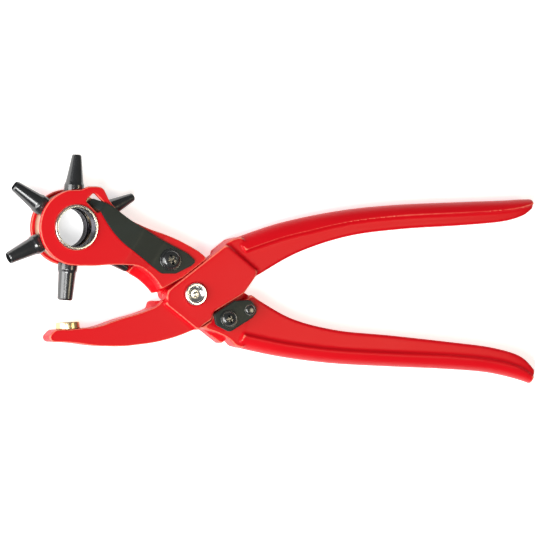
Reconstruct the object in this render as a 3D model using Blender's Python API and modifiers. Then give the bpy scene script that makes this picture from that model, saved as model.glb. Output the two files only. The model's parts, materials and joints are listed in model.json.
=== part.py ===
"""Rotary hole punch: a two-lever pliers frame with an indexing wheel of six tube punches.

The tool lies flat, far side down. +X runs to the handles, +Y to the wheel side of the jaws and
+Z to the near side. The origin is on the pivot axis, in the plane that the tool rests on.
Sizes are in millimetres and degrees, and heights are measured from the tool's middle plane.
"""

import math

import bmesh
import bpy
from mathutils import Matrix, Vector

MM = 0.001
MID_HEIGHT = 7.5          # middle plane above the rest plane
CLOSING_ANGLE = 9.3       # anvil lever's travel from open to closed
CUT_GAP = 0.15            # punch edge to anvil, closed
FIT = 0.35                # side clearance in the lap joint's pockets
LAP = 0.15                # half the gap between the two lap plates

PLATE_FACE = 6.0          # outer faces of the lap plates
LIMB_FACE = 4.5           # faces of jaws and handle webs
CHEEK_FACE = 6.5          # outer faces of the forked head
CHEEK_INNER = 4.3         # inner faces of the forked head
BUSH_FACE = 7.5           # outer faces of the bush flanges
EDGE = 0.7                # rounding along the forged edges

HUB = (-49.3, 26.0)       # wheel axis
HEAD_RADIUS = 14.8
BUSH_RADIUS = 8.6
BUSH_BORE = 7.75
BUSH_FLANGE = 8.95
BUSH_END = 2.7            # the bushes stop here, so slugs can drop into the hub
WHEEL_RADIUS = 13.6
WHEEL_HALF = 4.0
SLOT_RADIUS = 30.0        # fork slot, clear of the turning punches

PUNCH_SIZES = (5.0, 4.0, 3.5, 3.0, 2.5, 2.0)
PUNCH_TIP_WIDTHS = (6.0, 4.8, 4.3, 3.8, 3.3, 2.8)
ACTIVE_DIRECTION = 265.0
PUNCH_STEP = -60.0
PUNCH_REACH = 28.4        # cutting edge from the wheel axis
PUNCH_SEAT = 13.9
PUNCH_COLLAR = 3.9
PUNCH_THREAD = 3.1
NOTCH_ANGLE = 55.0
NOTCH_RADIUS = 12.0

PIVOT_SHANK = 4.0
PIVOT_HEAD = 4.5
COIL_RADIUS = 5.3
COIL_WIRE = 0.5
COIL_POCKET = 6.4
COIL_DEPTH = 1.9

INDEX_SCREW = (-10.0, 13.4)
INDEX_AXIS = Vector((-0.853, 0.522))
INDEX_THICKNESS = 0.9
RAMP_START = 5.5          # neck thickening begins, along the index spring's axis
RAMP_END = 16.0

CATCH_SCREW = (13.2, -9.7)
CATCH_KNOB = (21.9, -6.2)
CATCH_LOW = 6.2
CATCH_HIGH = 7.8
CATCH_PAD = 3.3

ANVIL_RADIUS = 4.7
ANVIL_HEIGHT = 2.7
ANVIL_STEM = 2.4

BEAD_WIDTH = 4.8
SMOOTH = 60.0             # corner radius that lets a corner take all the room there is

RED = ("red_coating", (0.78, 0.025, 0.015), 0.32, 0.0)
BLACK = ("blackened_steel", (0.02, 0.022, 0.022), 0.42, 0.7)
BLUED = ("polished_black", (0.03, 0.033, 0.036), 0.22, 0.85)
STEEL = ("bright_steel", (0.62, 0.62, 0.6), 0.25, 1.0)
WHEEL_STEEL = ("wheel_steel", (0.5, 0.42, 0.3), 0.4, 0.9)
BRASS = ("brass", (0.78, 0.6, 0.3), 0.28, 1.0)


# Scene -----------------------------------------------------------------------------------------

def clear_scene():
    for item in list(bpy.data.objects):
        bpy.data.objects.remove(item, do_unlink=True)


def new_collection(name):
    collection = bpy.data.collections.new(name)
    bpy.context.scene.collection.children.link(collection)
    return collection


def make_material(name, colour, roughness, metallic):
    material = bpy.data.materials.new(name)
    material.use_nodes = True
    shader = material.node_tree.nodes["Principled BSDF"]
    shader.inputs["Base Color"].default_value = (*colour, 1.0)
    shader.inputs["Roughness"].default_value = roughness
    shader.inputs["Metallic"].default_value = metallic
    return material


def axis_empty(name, place):
    empty = bpy.data.objects.new(name, None)
    empty.location = (place[0] * MM, place[1] * MM, MID_HEIGHT * MM)
    PARTS.objects.link(empty)
    return empty


def finish(item, look, parent):
    """Give a part its material, its collection and its place under an axis."""
    name, colour, roughness, metallic = look
    item.data.materials.clear()
    item.data.materials.append(make_material(f"{item.name}_{name}", colour, roughness, metallic))
    for collection in list(item.users_collection):
        collection.objects.unlink(item)
    PARTS.objects.link(item)
    item.parent = parent
    item.data.shade_smooth()
    item.data.set_sharp_from_angle(angle=math.radians(35))
    return item


def combine(target, tool, operation):
    """Join a tool to a part, or cut it away. Both stand in the same axis frame."""
    tool.hide_render = True
    tool.display_type = "WIRE"
    tool.parent = target.parent
    modifier = target.modifiers.new(tool.name, "BOOLEAN")
    modifier.operation = operation
    modifier.object = tool
    return target


def join(target, *tools):
    for tool in tools:
        combine(target, tool, "UNION")


def cut(target, *tools):
    for tool in tools:
        combine(target, tool, "DIFFERENCE")


# Outlines --------------------------------------------------------------------------------------

def turn(point, degrees):
    angle = math.radians(degrees)
    x, y = point
    return (x * math.cos(angle) - y * math.sin(angle), x * math.sin(angle) + y * math.cos(angle))


def polar(centre, radius, degrees):
    angle = math.radians(degrees)
    return (centre[0] + radius * math.cos(angle), centre[1] + radius * math.sin(angle))


def fillet(before, corner, after, radius, steps):
    """Points of the arc that replaces one corner."""
    to_before = before - corner
    to_after = after - corner
    room = 0.48 * min(to_before.length, to_after.length)
    to_before.normalize()
    to_after.normalize()
    half = to_before.angle(to_after) / 2
    reach = min(radius / math.tan(half), room)
    centre = corner + (to_before + to_after).normalized() * (reach / math.cos(half))
    start = corner + to_before * reach - centre
    stop = corner + to_after * reach - centre
    sweep = math.atan2(start.x * stop.y - start.y * stop.x, start.dot(stop))
    arc = []
    for step in range(steps + 1):
        arc.append(centre + Matrix.Rotation(sweep * step / steps, 2) @ start)
    return arc


def rounded(corners, steps=3):
    """Outline points from (x, y, radius) corners."""
    points = []
    for index, (x, y, radius) in enumerate(corners):
        corner = Vector((x, y))
        if radius == 0:
            points.append(corner)
            continue
        before = Vector(corners[index - 1][:2])
        after = Vector(corners[(index + 1) % len(corners)][:2])
        points.extend(fillet(before, corner, after, radius, steps))
    return points


def arc(centre, radius, start, stop, count):
    corners = []
    for step in range(count + 1):
        angle = start + (stop - start) * step / count
        corners.append((*polar(centre, radius, angle), 0))
    return corners


def mirrored(corners):
    return [(x, -y, radius) for x, y, radius in reversed(corners)]


# Solids ----------------------------------------------------------------------------------------

def tool_object(name, mesh):
    item = bpy.data.objects.new(name, mesh)
    TOOLS.objects.link(item)
    return item


def baked(item):
    """Turn a curve or a modified mesh into a plain welded mesh in its axis frame."""
    bpy.context.view_layer.update()
    graph = bpy.context.evaluated_depsgraph_get()
    mesh = bpy.data.meshes.new_from_object(item.evaluated_get(graph))
    mesh.transform(item.matrix_basis)
    shape = bmesh.new()
    shape.from_mesh(mesh)
    bmesh.ops.remove_doubles(shape, verts=shape.verts, dist=2e-6)
    bmesh.ops.recalc_face_normals(shape, faces=shape.faces)
    shape.to_mesh(mesh)
    shape.free()
    name = item.name
    bpy.data.objects.remove(item, do_unlink=True)
    return tool_object(name, mesh)


def slab(name, corners, low, high, edge=0.0):
    """Extruded outline between two heights, with its rims rounded by edge."""
    points = rounded(corners)
    curve = bpy.data.curves.new(name, "CURVE")
    curve.dimensions = "2D"
    curve.fill_mode = "BOTH"
    curve.extrude = ((high - low) / 2 - edge) * MM
    curve.bevel_depth = edge * MM
    curve.bevel_resolution = 1
    curve.offset = -edge * MM
    spline = curve.splines.new("POLY")
    spline.points.add(len(points) - 1)
    for spot, point in zip(spline.points, points):
        spot.co = (point[0] * MM, point[1] * MM, 0, 1)
    spline.use_cyclic_u = True
    item = tool_object(name, curve)
    item.location.z = (low + high) / 2 * MM
    return baked(item)


def disc(name, centre, radius, low, high, sides=32):
    shape = bmesh.new()
    place = Matrix.Translation((centre[0] * MM, centre[1] * MM, (low + high) / 2 * MM))
    bmesh.ops.create_cone(
        shape, cap_ends=True, segments=sides, radius1=radius * MM, radius2=radius * MM,
        depth=(high - low) * MM, matrix=place,
    )
    mesh = bpy.data.meshes.new(name)
    shape.to_mesh(mesh)
    shape.free()
    return tool_object(name, mesh)


def hull(name, points):
    """Convex block through a handful of corner points."""
    shape = bmesh.new()
    for point in points:
        shape.verts.new([value * MM for value in point])
    bmesh.ops.convex_hull(shape, input=shape.verts)
    bmesh.ops.recalc_face_normals(shape, faces=shape.faces)
    mesh = bpy.data.meshes.new(name)
    shape.to_mesh(mesh)
    shape.free()
    return tool_object(name, mesh)


def turned(name, profile, steps=32, closed=False):
    """Revolve (radius, height) points, top to bottom on the outer side, about Z."""
    mesh = bpy.data.meshes.new(name)
    points = [(radius * MM, 0, height * MM) for radius, height in profile]
    edges = [(index, index + 1) for index in range(len(points) - 1)]
    if closed:
        edges.append((len(points) - 1, 0))
    mesh.from_pydata(points, edges, [])
    item = tool_object(name, mesh)
    screw = item.modifiers.new("revolve", "SCREW")
    screw.axis = "Z"
    screw.steps = steps
    screw.render_steps = steps
    screw.use_merge_vertices = True
    screw.merge_threshold = 0.000001
    return item


def loft(name, rings):
    """Skin through rings of equal point counts, capped at both ends."""
    shape = bmesh.new()
    loops = []
    for ring in rings:
        loops.append([shape.verts.new([value * MM for value in point]) for point in ring])
    for first, second in zip(loops, loops[1:]):
        for index in range(len(first)):
            after = (index + 1) % len(first)
            shape.faces.new((first[index], first[after], second[after], second[index]))
    shape.faces.new(loops[0])
    shape.faces.new(loops[-1])
    bmesh.ops.recalc_face_normals(shape, faces=shape.faces)
    mesh = bpy.data.meshes.new(name)
    shape.to_mesh(mesh)
    shape.free()
    return tool_object(name, mesh)


# Lap joint -------------------------------------------------------------------------------------

PLATE_UPPER = 7.5         # pivot axis to the plate's two long edges
PLATE_LOWER = 9.8

# Near lap plate: a long plate from the lower jaw up to the upper handle.
PLATE = [
    (-12.0, -2.0, 1.5), (-11.1, 1.4, 1.5), (13.0, 19.3, 0), (26.0, 9.0, 2.0),
    (25.0, 6.6, 1.0), (20.4, 0.4, 1.0), (7.8, -6.9, 1.0), (7.0, -9.8, 1.5), (2.4, -12.7, 0),
]


def channel_shoulders():
    """Upper side of the pocket for a lap plate: one face meets it open, the other closed."""
    reach = PLATE_UPPER + FIT
    open_side = 126.6
    closed_side = open_side - CLOSING_ANGLE
    heel = Vector(polar((0, 0), reach / math.cos(math.radians(CLOSING_ANGLE / 2)),
                        (open_side + closed_side) / 2))
    far_left = heel + Vector(polar((0, 0), 34, closed_side + 90))
    far_right = heel + Vector(polar((0, 0), 34, open_side - 90))
    return [(*far_left, 0), (*heel, 0), (*far_right, 0)]


def near_channel():
    """Pocket in the head lever, clear of the near plate from open to closed."""
    closed_side = 300.0 - CLOSING_ANGLE
    foot = Vector(polar((0, 0), PLATE_LOWER + FIT, closed_side))
    along = Vector(polar((0, 0), 1, closed_side + 90))
    toe = foot + along * 18.9
    heel = foot + along * 4.9
    return channel_shoulders() + [
        (34.0, 9.3, 0), (*toe, 1.0), (*heel, 0), (7.5, -10.2, 0), (2.8, -13.4, 0),
        (1.0, -30.0, 0), (-34.0, -30.0, 0),
    ]


def far_channel():
    """Pocket in the anvil lever, clear of the far plate and of the lower handle's root."""
    return mirrored(channel_shoulders() + [
        (36.0, 0.0, 0), (23.6, -5.8, 1.0), (8.2, -7.9, 0), (9.4, -14.5, 0), (12.0, -26.0, 0),
        (-34.0, -30.0, 0),
    ])


def pocket_tools(side):
    """Cutters for the coil pocket, the pivot bore and the coil's end hole. side is +1 near."""
    sign = 1 if side > 0 else -1
    bore = disc(f"pivot_bore_{side}", (0, 0), PIVOT_SHANK + 0.06, -20, 20)
    pocket_heights = sorted((-sign * 3.0, sign * COIL_DEPTH))
    pocket = disc(f"coil_pocket_{side}", (0, 0), COIL_POCKET, *pocket_heights)
    hole_heights = sorted((0, sign * 3.8))
    angle = 90.0 if side > 0 else -90.0
    hole = disc(f"coil_hole_{side}", polar((0, 0), COIL_RADIUS, angle), 0.8, *hole_heights, 12)
    return bore, pocket, hole


def ramp(name, first, second, width, face, side):
    """Sloped step from a lap plate's edge down to a limb's face, along one line."""
    start = Vector(first)
    stop = Vector(second)
    along = (stop - start).normalized()
    out = Vector((along.y, -along.x)) * width
    points = []
    for spot in (start, stop):
        outer = spot + out
        inner = spot - out * 0.4
        points.append((inner.x, inner.y, side * face))
        points.append((spot.x, spot.y, side * face))
        points.append((outer.x, outer.y, side * (LIMB_FACE - 0.05)))
        points.append((outer.x, outer.y, side * (LIMB_FACE - 1.0)))
        points.append((inner.x, inner.y, side * 1.0))
    return hull(name, points)


# Handles ---------------------------------------------------------------------------------------

# Stations of each handle: outer edge, inner edge, half thickness of the bead and of the web.
UPPER_HANDLE = [
    (18.0, 21.8, 27.2, 7.6, 5.8, 4.5), (37.3, 27.9, 43.5, 16.2, 5.8, 4.5),
    (61.4, 32.6, 64.0, 22.5, 5.8, 4.5), (84.6, 34.9, 86.0, 25.3, 5.7, 4.4),
    (110.0, 36.0, 111.0, 26.8, 5.5, 4.3), (128.0, 36.6, 128.5, 28.3, 5.3, 4.2),
    (137.5, 37.1, 137.2, 30.6, 5.0, 4.0), (141.9, 37.2, 141.4, 33.4, 4.2, 3.4),
]
LOWER_HANDLE = [
    (18.3, -20.6, 26.4, -1.8, 5.8, 4.5), (36.0, -24.2, 41.0, -9.5, 5.8, 4.5),
    (57.1, -26.9, 59.5, -14.0, 5.8, 4.5), (80.0, -28.2, 82.0, -16.1, 5.7, 4.4),
    (104.0, -29.2, 106.0, -18.6, 5.5, 4.3), (122.0, -30.5, 124.0, -20.8, 5.3, 4.2),
    (133.5, -32.7, 136.2, -24.2, 5.0, 4.0), (141.2, -35.0, 142.4, -29.6, 4.2, 3.4),
]


def spline_value(before, start, stop, after, share):
    """Catmull-Rom value between start and stop."""
    return 0.5 * (
        2 * start + (stop - before) * share
        + (2 * before - 5 * start + 4 * stop - after) * share ** 2
        + (3 * start - before - 3 * stop + after) * share ** 3
    )


def smooth_stations(stations, steps=3):
    """Stations along a handle, with smooth ones added between the given ones."""
    ends = [stations[0]] + stations + [stations[-1]]
    result = []
    for index in range(1, len(ends) - 2):
        group = ends[index - 1:index + 3]
        for step in range(steps):
            share = step / steps
            result.append([spline_value(*values, share) for values in zip(*group)])
    result.append(list(stations[-1]))
    return result


def handle_ring(outer_x, outer_y, inner_x, inner_y, bead, web):
    """Section of a handle: a rounded outer bead, a slope, a flat web and a broken inner edge."""
    outer = Vector((outer_x, outer_y))
    across = Vector((inner_x, inner_y)) - outer
    width = across.length
    across.normalize()
    band = min(BEAD_WIDTH, 0.45 * width)
    edge = 1.1
    half = []
    for step in range(5):
        angle = math.radians(90 * step / 4)
        half.append((band * (1 - math.cos(angle)), bead * math.sin(angle)))
    half.append((band + min(1.5, 0.15 * width), web))
    half.append((width - edge, web))
    half.append((width, web - edge))
    outline = half + [(reach, -height) for reach, height in reversed(half[1:])]
    ring = []
    for reach, height in outline:
        spot = outer + across * reach
        ring.append((spot.x, spot.y, height))
    return ring


def handle(name, stations):
    return loft(name, [handle_ring(*station) for station in smooth_stations(stations)])


# Levers ----------------------------------------------------------------------------------------

def along_index(reach, side=0.0):
    """Point at a distance along the index spring's axis, and to its upper side."""
    across = Vector((-INDEX_AXIS.y, INDEX_AXIS.x)) * -1
    spot = Vector(INDEX_SCREW) + INDEX_AXIS * reach + across * side
    return (spot.x, spot.y)


def head_outline(ear):
    """Forked head, neck and upper jaw. The near cheek has an ear with the index window."""
    crown = [(-46.9, 40.7, 1.5), (-44.2, 42.0, 3.0), (-38.2, 41.9, 3.5), (-35.6, 36.6, 4.0)]
    plain = [(-45.0, 40.0, 6.0), (-38.5, 37.0, 6.0)]
    top = [(-31.2, 31.2, SMOOTH), (-21.4, 26.2, SMOOTH), (-8.5, 22.4, SMOOTH),
           (2.7, 16.6, SMOOTH), (6.6, 12.8, 2.0)]
    joint = [(8.0, 6.0, 3.0), (-4.0, -1.0, 3.0)]
    throat = [(-12.6, 0.9, 1.0), (-16.2, 6.6, SMOOTH), (-22.4, 11.2, SMOOTH),
              (-34.0, 11.6, SMOOTH), (-42.0, 10.9, SMOOTH)]
    rim = arc(HUB, HEAD_RADIUS, 264, 100 if ear else 84, 16)
    return (crown if ear else plain) + top + joint + throat + rim


WINDOW = [(-45.5, 36.3, 0.8), (-41.9, 39.5, 0.8), (-36.8, 34.6, 0.8), (-40.2, 31.3, 0.8)]


def wedge_tools(side):
    name = "near" if side > 0 else "far"
    slope_points = []
    flat_points = []
    for offset in (-40, 40):
        for reach, height in ((RAMP_END, CHEEK_FACE), (RAMP_START, LIMB_FACE)):
            slope_points.append((*along_index(reach, offset), side * height))
            slope_points.append((*along_index(reach, offset), side * 12))
        for reach in (RAMP_START + 0.01, -60):
            flat_points.append((*along_index(reach, offset), side * LIMB_FACE))
            flat_points.append((*along_index(reach, offset), side * 12))
    return hull(f"neck_slope_{name}", slope_points), hull(f"neck_flat_{name}", flat_points)


def far_plate_outline():
    return mirrored(PLATE)


LOWER_ROOT = [
    (3.0, -12.9, 1.0), (6.2, -13.9, SMOOTH), (11.2, -15.6, SMOOTH), (14.6, -17.3, SMOOTH),
    (17.4, -20.2, 1.0), (20.5, -21.0, 0), (29.0, -3.6, 0), (22.8, 0.6, 1.0),
    (15.0, 2.0, 0), (4.0, -6.0, 0),
]
UPPER_ROOT = [
    (6.0, 14.0, 0), (15.8, 21.4, 1.0), (20.0, 22.3, 0), (29.5, 9.4, 0),
    (25.6, 6.8, 1.0), (20.4, 0.4, 0), (8.0, 4.0, 0),
]


def make_head_lever():
    """Lower handle, far lap plate, upper jaw and forked head: one forging."""
    lever = slab("head_lever", head_outline(ear=True), 0.0, CHEEK_FACE, EDGE)
    finish(lever, RED, TOOL_AXIS)
    far_half = slab("head_far_half", head_outline(ear=False), -CHEEK_FACE, 0.6, EDGE)
    join(lever, far_half)
    cut(lever, *wedge_tools(+1), *wedge_tools(-1))
    lip = [(-14.9, 0.9, 1.0), (-19.6, 5.3, SMOOTH), (-25.0, 8.6, SMOOTH), (-31.0, 10.6, 0),
           (-27.0, 15.0, 0), (-9.0, 9.0, 0)]
    join(lever, slab("throat_lip", lip, 0.05 - LIMB_FACE, -0.4, 0.5))
    root = slab("lower_root", LOWER_ROOT, 0.05 - LIMB_FACE, LIMB_FACE - 0.05, 0.4)
    far_plate = slab("far_plate", far_plate_outline(), -PLATE_FACE, -LAP, EDGE)
    join(lever, root, far_plate, handle("lower_handle", LOWER_HANDLE))
    jaw_step = ramp("far_jaw_step", (2.0, 13.4), (-11.6, 3.0), 2.4, PLATE_FACE, -1)
    handle_step = ramp("far_handle_step", (25.4, -8.0), (13.5, -18.0), 2.2, PLATE_FACE, -1)
    join(lever, jaw_step, handle_step)
    cut(lever, slab("near_channel", near_channel(), -LAP, 12))
    join(lever, disc("catch_pad", CATCH_SCREW, CATCH_PAD, LIMB_FACE - 1, CATCH_LOW - 0.1, 24))
    cut(lever, disc("wheel_slot", HUB, SLOT_RADIUS, -CHEEK_INNER, CHEEK_INNER, 64))
    cut(lever, disc("hub_bore", HUB, BUSH_RADIUS + 0.1, -20, 20, 40))
    cut(lever, slab("index_window", WINDOW, CHEEK_INNER - 1, 20))
    cut(lever, *pocket_tools(-1))
    cut(lever, disc("index_screw_hole", INDEX_SCREW, 2.1, -2.2, 20, 20))
    cut(lever, disc("catch_screw_hole", CATCH_SCREW, 1.85, -2.2, 20, 20))
    return lever


LOWER_JAW = [
    (-13.0, -2.6, 2.0), (-15.0, -4.6, SMOOTH), (-21.6, -7.2, SMOOTH), (-31.5, -9.8, SMOOTH),
    (-37.5, -12.0, SMOOTH), (-41.8, -12.95, 3.0), (-57.2, -13.75, 2.2), (-60.0, -16.6, 2.0),
    (-58.6, -18.5, 1.6), (-49.0, -18.9, SMOOTH), (-42.0, -20.0, SMOOTH), (-30.0, -20.5, SMOOTH),
    (-16.0, -18.9, SMOOTH), (-6.8, -16.6, SMOOTH), (2.6, -12.9, 1.0), (6.0, -6.0, 0),
    (-4.0, 3.0, 0),
]


def anvil_frame():
    """Middle of the anvil's top and its direction, open, so that it meets the punch closed."""
    tip = Vector(polar(HUB, PUNCH_REACH + CUT_GAP, ACTIVE_DIRECTION))
    return turn(tip, CLOSING_ANGLE), ACTIVE_DIRECTION - 180 + CLOSING_ANGLE


def anvil_matrix():
    """Matrix that stands the Z axis on the anvil's axis, with its origin in the top face."""
    (x, y), direction = anvil_frame()
    place = Matrix.Translation((x * MM, y * MM, 0))
    tilt = Matrix.Rotation(math.radians(direction), 4, "Z") @ Matrix.Rotation(math.pi / 2, 4, "Y")
    return place @ tilt


def make_anvil_lever():
    """Upper handle, near lap plate and lower jaw: one forging."""
    lever = slab("anvil_lever", LOWER_JAW, -LIMB_FACE, LIMB_FACE, 1.0)
    finish(lever, RED, TOOL_AXIS)
    lip = [(-16.4, -1.9, 1.0), (-16.9, -5.2, 1.0), (-20.0, -8.4, 0), (-10.0, -9.0, 0),
           (-9.0, -2.0, 0)]
    plate = slab("near_plate", PLATE, LAP, PLATE_FACE, EDGE)
    root = slab("upper_root", UPPER_ROOT, 0.05 - LIMB_FACE, LIMB_FACE - 0.05, 0.4)
    join(lever, slab("jaw_lip", lip, 0.05 - LIMB_FACE, -0.4, 0.5))
    join(lever, plate, root, handle("upper_handle", UPPER_HANDLE))
    jaw_step = ramp("near_jaw_step", (-11.6, -3.0), (2.0, -13.4), -2.4, PLATE_FACE, 1)
    handle_step = ramp("near_handle_step", (13.5, 18.0), (25.4, 8.0), -2.2, PLATE_FACE, 1)
    join(lever, jaw_step, handle_step)
    cut(lever, slab("far_channel", far_channel(), -12, LAP))
    cut(lever, *pocket_tools(1))
    stem_hole = disc("anvil_hole", (0, 0), ANVIL_STEM + 0.1, -ANVIL_HEIGHT - 4.0, 3.0, 20)
    seat = disc("anvil_seat", (0, 0), ANVIL_RADIUS + 0.4, -ANVIL_HEIGHT - 0.1, 3.0, 36)
    stem_hole.data.transform(anvil_matrix())
    seat.data.transform(anvil_matrix())
    cut(lever, stem_hole, seat)
    return lever


# Fittings --------------------------------------------------------------------------------------

def make_anvil():
    top = [(0, 0), (ANVIL_RADIUS - 0.4, 0), (ANVIL_RADIUS, -0.4)]
    base = [(ANVIL_RADIUS, -ANVIL_HEIGHT), (ANVIL_STEM, -ANVIL_HEIGHT)]
    stem = [(ANVIL_STEM, -ANVIL_HEIGHT - 3.4), (ANVIL_STEM - 0.4, -ANVIL_HEIGHT - 3.8)]
    anvil = turned("anvil", top + base + stem + [(0, -ANVIL_HEIGHT - 3.8)], 28)
    finish(anvil, BRASS, TOOL_AXIS)
    anvil.matrix_basis = anvil_matrix()


def make_pivot():
    """Pivot bolt with a dished head and a closed nut under the far plate."""
    head = [(0, 6.75), (0.5, 6.7), (0.8, 6.4), (1.6, 6.35), (3.1, 6.95), (3.4, 7.45),
            (3.9, 7.5), (4.35, 7.3), (PIVOT_HEAD, 6.9), (PIVOT_HEAD, 6.1)]
    shank = [(PIVOT_SHANK, 6.1), (PIVOT_SHANK, -5.9), (2.9, -5.9), (2.9, -6.8), (0, -6.8)]
    finish(turned("pivot_bolt", head + shank, 28), STEEL, TOOL_AXIS)
    nut = [(0, -6.95), (3.0, -6.95), (3.0, -6.1), (4.9, -6.1), (5.0, -6.3), (5.0, -7.1),
           (4.6, -7.5), (0, -7.5)]
    finish(turned("pivot_nut", nut, 28), STEEL, TOOL_AXIS)


def make_opening_spring():
    """Torsion coil around the pivot; its ends stand in a hole of each lever."""
    turns = 2.5
    points = [polar((0, 0), COIL_RADIUS, -90) + (-3.4,)]
    count = 30
    for step in range(count + 1):
        share = step / count
        spot = polar((0, 0), COIL_RADIUS, -90 + 360 * turns * share)
        points.append(spot + (-1.25 + 2.5 * share,))
    points.append(polar((0, 0), COIL_RADIUS, -90 + 360 * turns) + (3.4,))
    curve = bpy.data.curves.new("opening_spring", "CURVE")
    curve.dimensions = "3D"
    curve.bevel_depth = COIL_WIRE * MM * 0.9
    curve.bevel_resolution = 2
    curve.use_fill_caps = True
    spline = curve.splines.new("POLY")
    spline.points.add(len(points) - 1)
    for spot, point in zip(spline.points, points):
        spot.co = (*[value * MM for value in point], 1)
    item = baked(tool_object("opening_spring", curve))
    finish(item, STEEL, TOOL_AXIS)


def make_bush(name, side):
    """Flanged bush: fills a cheek's bore and carries the wheel."""
    outer = [(BUSH_FLANGE - 0.35, BUSH_FACE), (BUSH_FLANGE, BUSH_FACE - 0.35),
             (BUSH_FLANGE, CHEEK_FACE + 0.1), (BUSH_RADIUS, CHEEK_FACE + 0.1),
             (BUSH_RADIUS, BUSH_END)]
    inner = [(BUSH_BORE, BUSH_END), (BUSH_BORE, BUSH_FACE - 0.4), (BUSH_BORE + 0.4, BUSH_FACE)]
    bush = turned(name, outer + inner, 36, closed=True)
    finish(bush, STEEL, HUB_AXIS)
    if side < 0:
        bush.rotation_euler.x = math.pi


def radial_matrix(degrees):
    """Matrix that lays the Z axis out from the wheel axis in a direction."""
    return Matrix.Rotation(math.radians(degrees), 4, "Z") @ Matrix.Rotation(math.pi / 2, 4, "Y")


def make_wheel():
    """Punch wheel: six radial seats and a ring of index notches in the near face."""
    rim = WHEEL_RADIUS
    bore = BUSH_RADIUS + 0.06
    profile = [(rim - 0.6, WHEEL_HALF), (rim, WHEEL_HALF - 0.6), (rim, 0.6 - WHEEL_HALF),
               (rim - 0.6, -WHEEL_HALF), (bore, -WHEEL_HALF), (bore, WHEEL_HALF)]
    wheel = turned("punch_wheel", profile, 36, closed=True)
    finish(wheel, WHEEL_STEEL, HUB_AXIS)
    for index in range(6):
        direction = ACTIVE_DIRECTION + PUNCH_STEP * index
        seat = disc(f"punch_seat_{index}", (0, 0), PUNCH_THREAD + 0.1, 5.0, 20.0, 20)
        seat.data.transform(radial_matrix(direction))
        notch_place = polar((0, 0), NOTCH_RADIUS, NOTCH_ANGLE + PUNCH_STEP * index)
        notch = disc(f"index_notch_{index}", notch_place, 1.9, WHEEL_HALF - 1.2, 8.0, 12)
        cut(wheel, seat, notch)


def make_punch(index):
    """Hollow tube punch, screwed into the wheel: thread, collar and tapered cutting tube."""
    size = PUNCH_SIZES[index]
    tip = PUNCH_TIP_WIDTHS[index] / 2
    bore = size / 2
    relief = min(bore + 0.15, PUNCH_THREAD - 0.45)
    base = max(3.2, tip + 0.3)
    outer = [(bore + 0.08, PUNCH_REACH), (tip, PUNCH_REACH - 0.9), (base, 18.2),
             (PUNCH_COLLAR, 17.2), (PUNCH_COLLAR, PUNCH_SEAT + 0.4),
             (PUNCH_COLLAR - 0.4, PUNCH_SEAT), (PUNCH_THREAD, PUNCH_SEAT), (PUNCH_THREAD, 9.4)]
    inner = [(relief, 9.4), (relief, PUNCH_REACH - 3.0), (bore, PUNCH_REACH - 2.6)]
    name = f"punch_{int(size)}_{int(size * 10) % 10}mm"
    punch = turned(name, outer + inner, 18, closed=True)
    finish(punch, BLUED, HUB_AXIS)
    punch.matrix_basis = radial_matrix(ACTIVE_DIRECTION + PUNCH_STEP * index)


INDEX_OUTLINE = [
    (-43.9, 35.3, 0.5), (-41.6, 37.3, 0.6), (-38.8, 36.0, SMOOTH), (-35.1, 34.6, SMOOTH),
    (-26.6, 28.4, SMOOTH), (-14.6, 21.6, SMOOTH), (-2.4, 15.4, 2.0), (-0.5, 11.9, 1.2),
    (-7.6, 8.1, 2.5), (-13.6, 8.0, 3.0), (-21.9, 14.1, SMOOTH), (-30.2, 19.8, SMOOTH),
    (-35.4, 25.4, SMOOTH), (-39.6, 32.3, 3.0),
]


def index_lift(reach):
    """Height of the index spring's underside above its bed, along its axis."""
    bends = [(-20.0, 0.0), (RAMP_START, 0.0), (RAMP_END, 2.05), (35.2, 2.05), (36.8, 1.4),
             (38.2, -0.2), (39.4, -1.3), (44.0, -1.3)]
    for (first, low), (second, high) in zip(bends, bends[1:]):
        if reach <= second:
            return low + (high - low) * (reach - first) / (second - first)
    return bends[-1][1]


def make_index_spring():
    """Leaf spring: screwed to the jaw, over the cheek and down through the ear's window."""
    low = LIMB_FACE + 0.08
    spring = slab("index_spring", INDEX_OUTLINE, low, low + INDEX_THICKNESS)
    shape = bmesh.new()
    shape.from_mesh(spring.data)
    for reach in (RAMP_START, RAMP_END, 35.2, 36.8, 38.2, 39.4):
        spot = along_index(reach)
        parts = shape.verts[:] + shape.edges[:] + shape.faces[:]
        bmesh.ops.bisect_plane(
            shape, geom=parts, dist=1e-7, plane_co=(spot[0] * MM, spot[1] * MM, 0),
            plane_no=(INDEX_AXIS.x, INDEX_AXIS.y, 0),
        )
    for vertex in shape.verts:
        offset = Vector((vertex.co.x / MM, vertex.co.y / MM)) - Vector(INDEX_SCREW)
        vertex.co.z += index_lift(offset.dot(INDEX_AXIS)) * MM
    bmesh.ops.triangulate(shape, faces=shape.faces)
    shape.to_mesh(spring.data)
    shape.free()
    finish(spring, BLACK, TOOL_AXIS)
    cut(spring, disc("index_spring_hole", INDEX_SCREW, 2.3, 0, 12, 24))


def screw_profile(radius, bearing, height, shank, tip):
    """Pan head screw with a round socket."""
    crown = bearing + height
    return [
        (0, crown - 1.0), (radius * 0.3, crown - 1.0), (radius * 0.34, crown),
        (radius * 0.6, crown), (radius * 0.9, crown - 0.3), (radius, crown - 0.8),
        (radius, bearing), (shank, bearing), (shank, tip + 0.5), (shank - 0.5, tip), (0, tip),
    ]


def make_index_screw():
    bearing = LIMB_FACE + INDEX_THICKNESS + 0.16
    screw = turned("index_screw", screw_profile(4.4, bearing, 1.9, 2.0, -2.0), 24)
    finish(screw, BLACK, TOOL_AXIS)
    screw.location = (INDEX_SCREW[0] * MM, INDEX_SCREW[1] * MM, 0)


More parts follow.
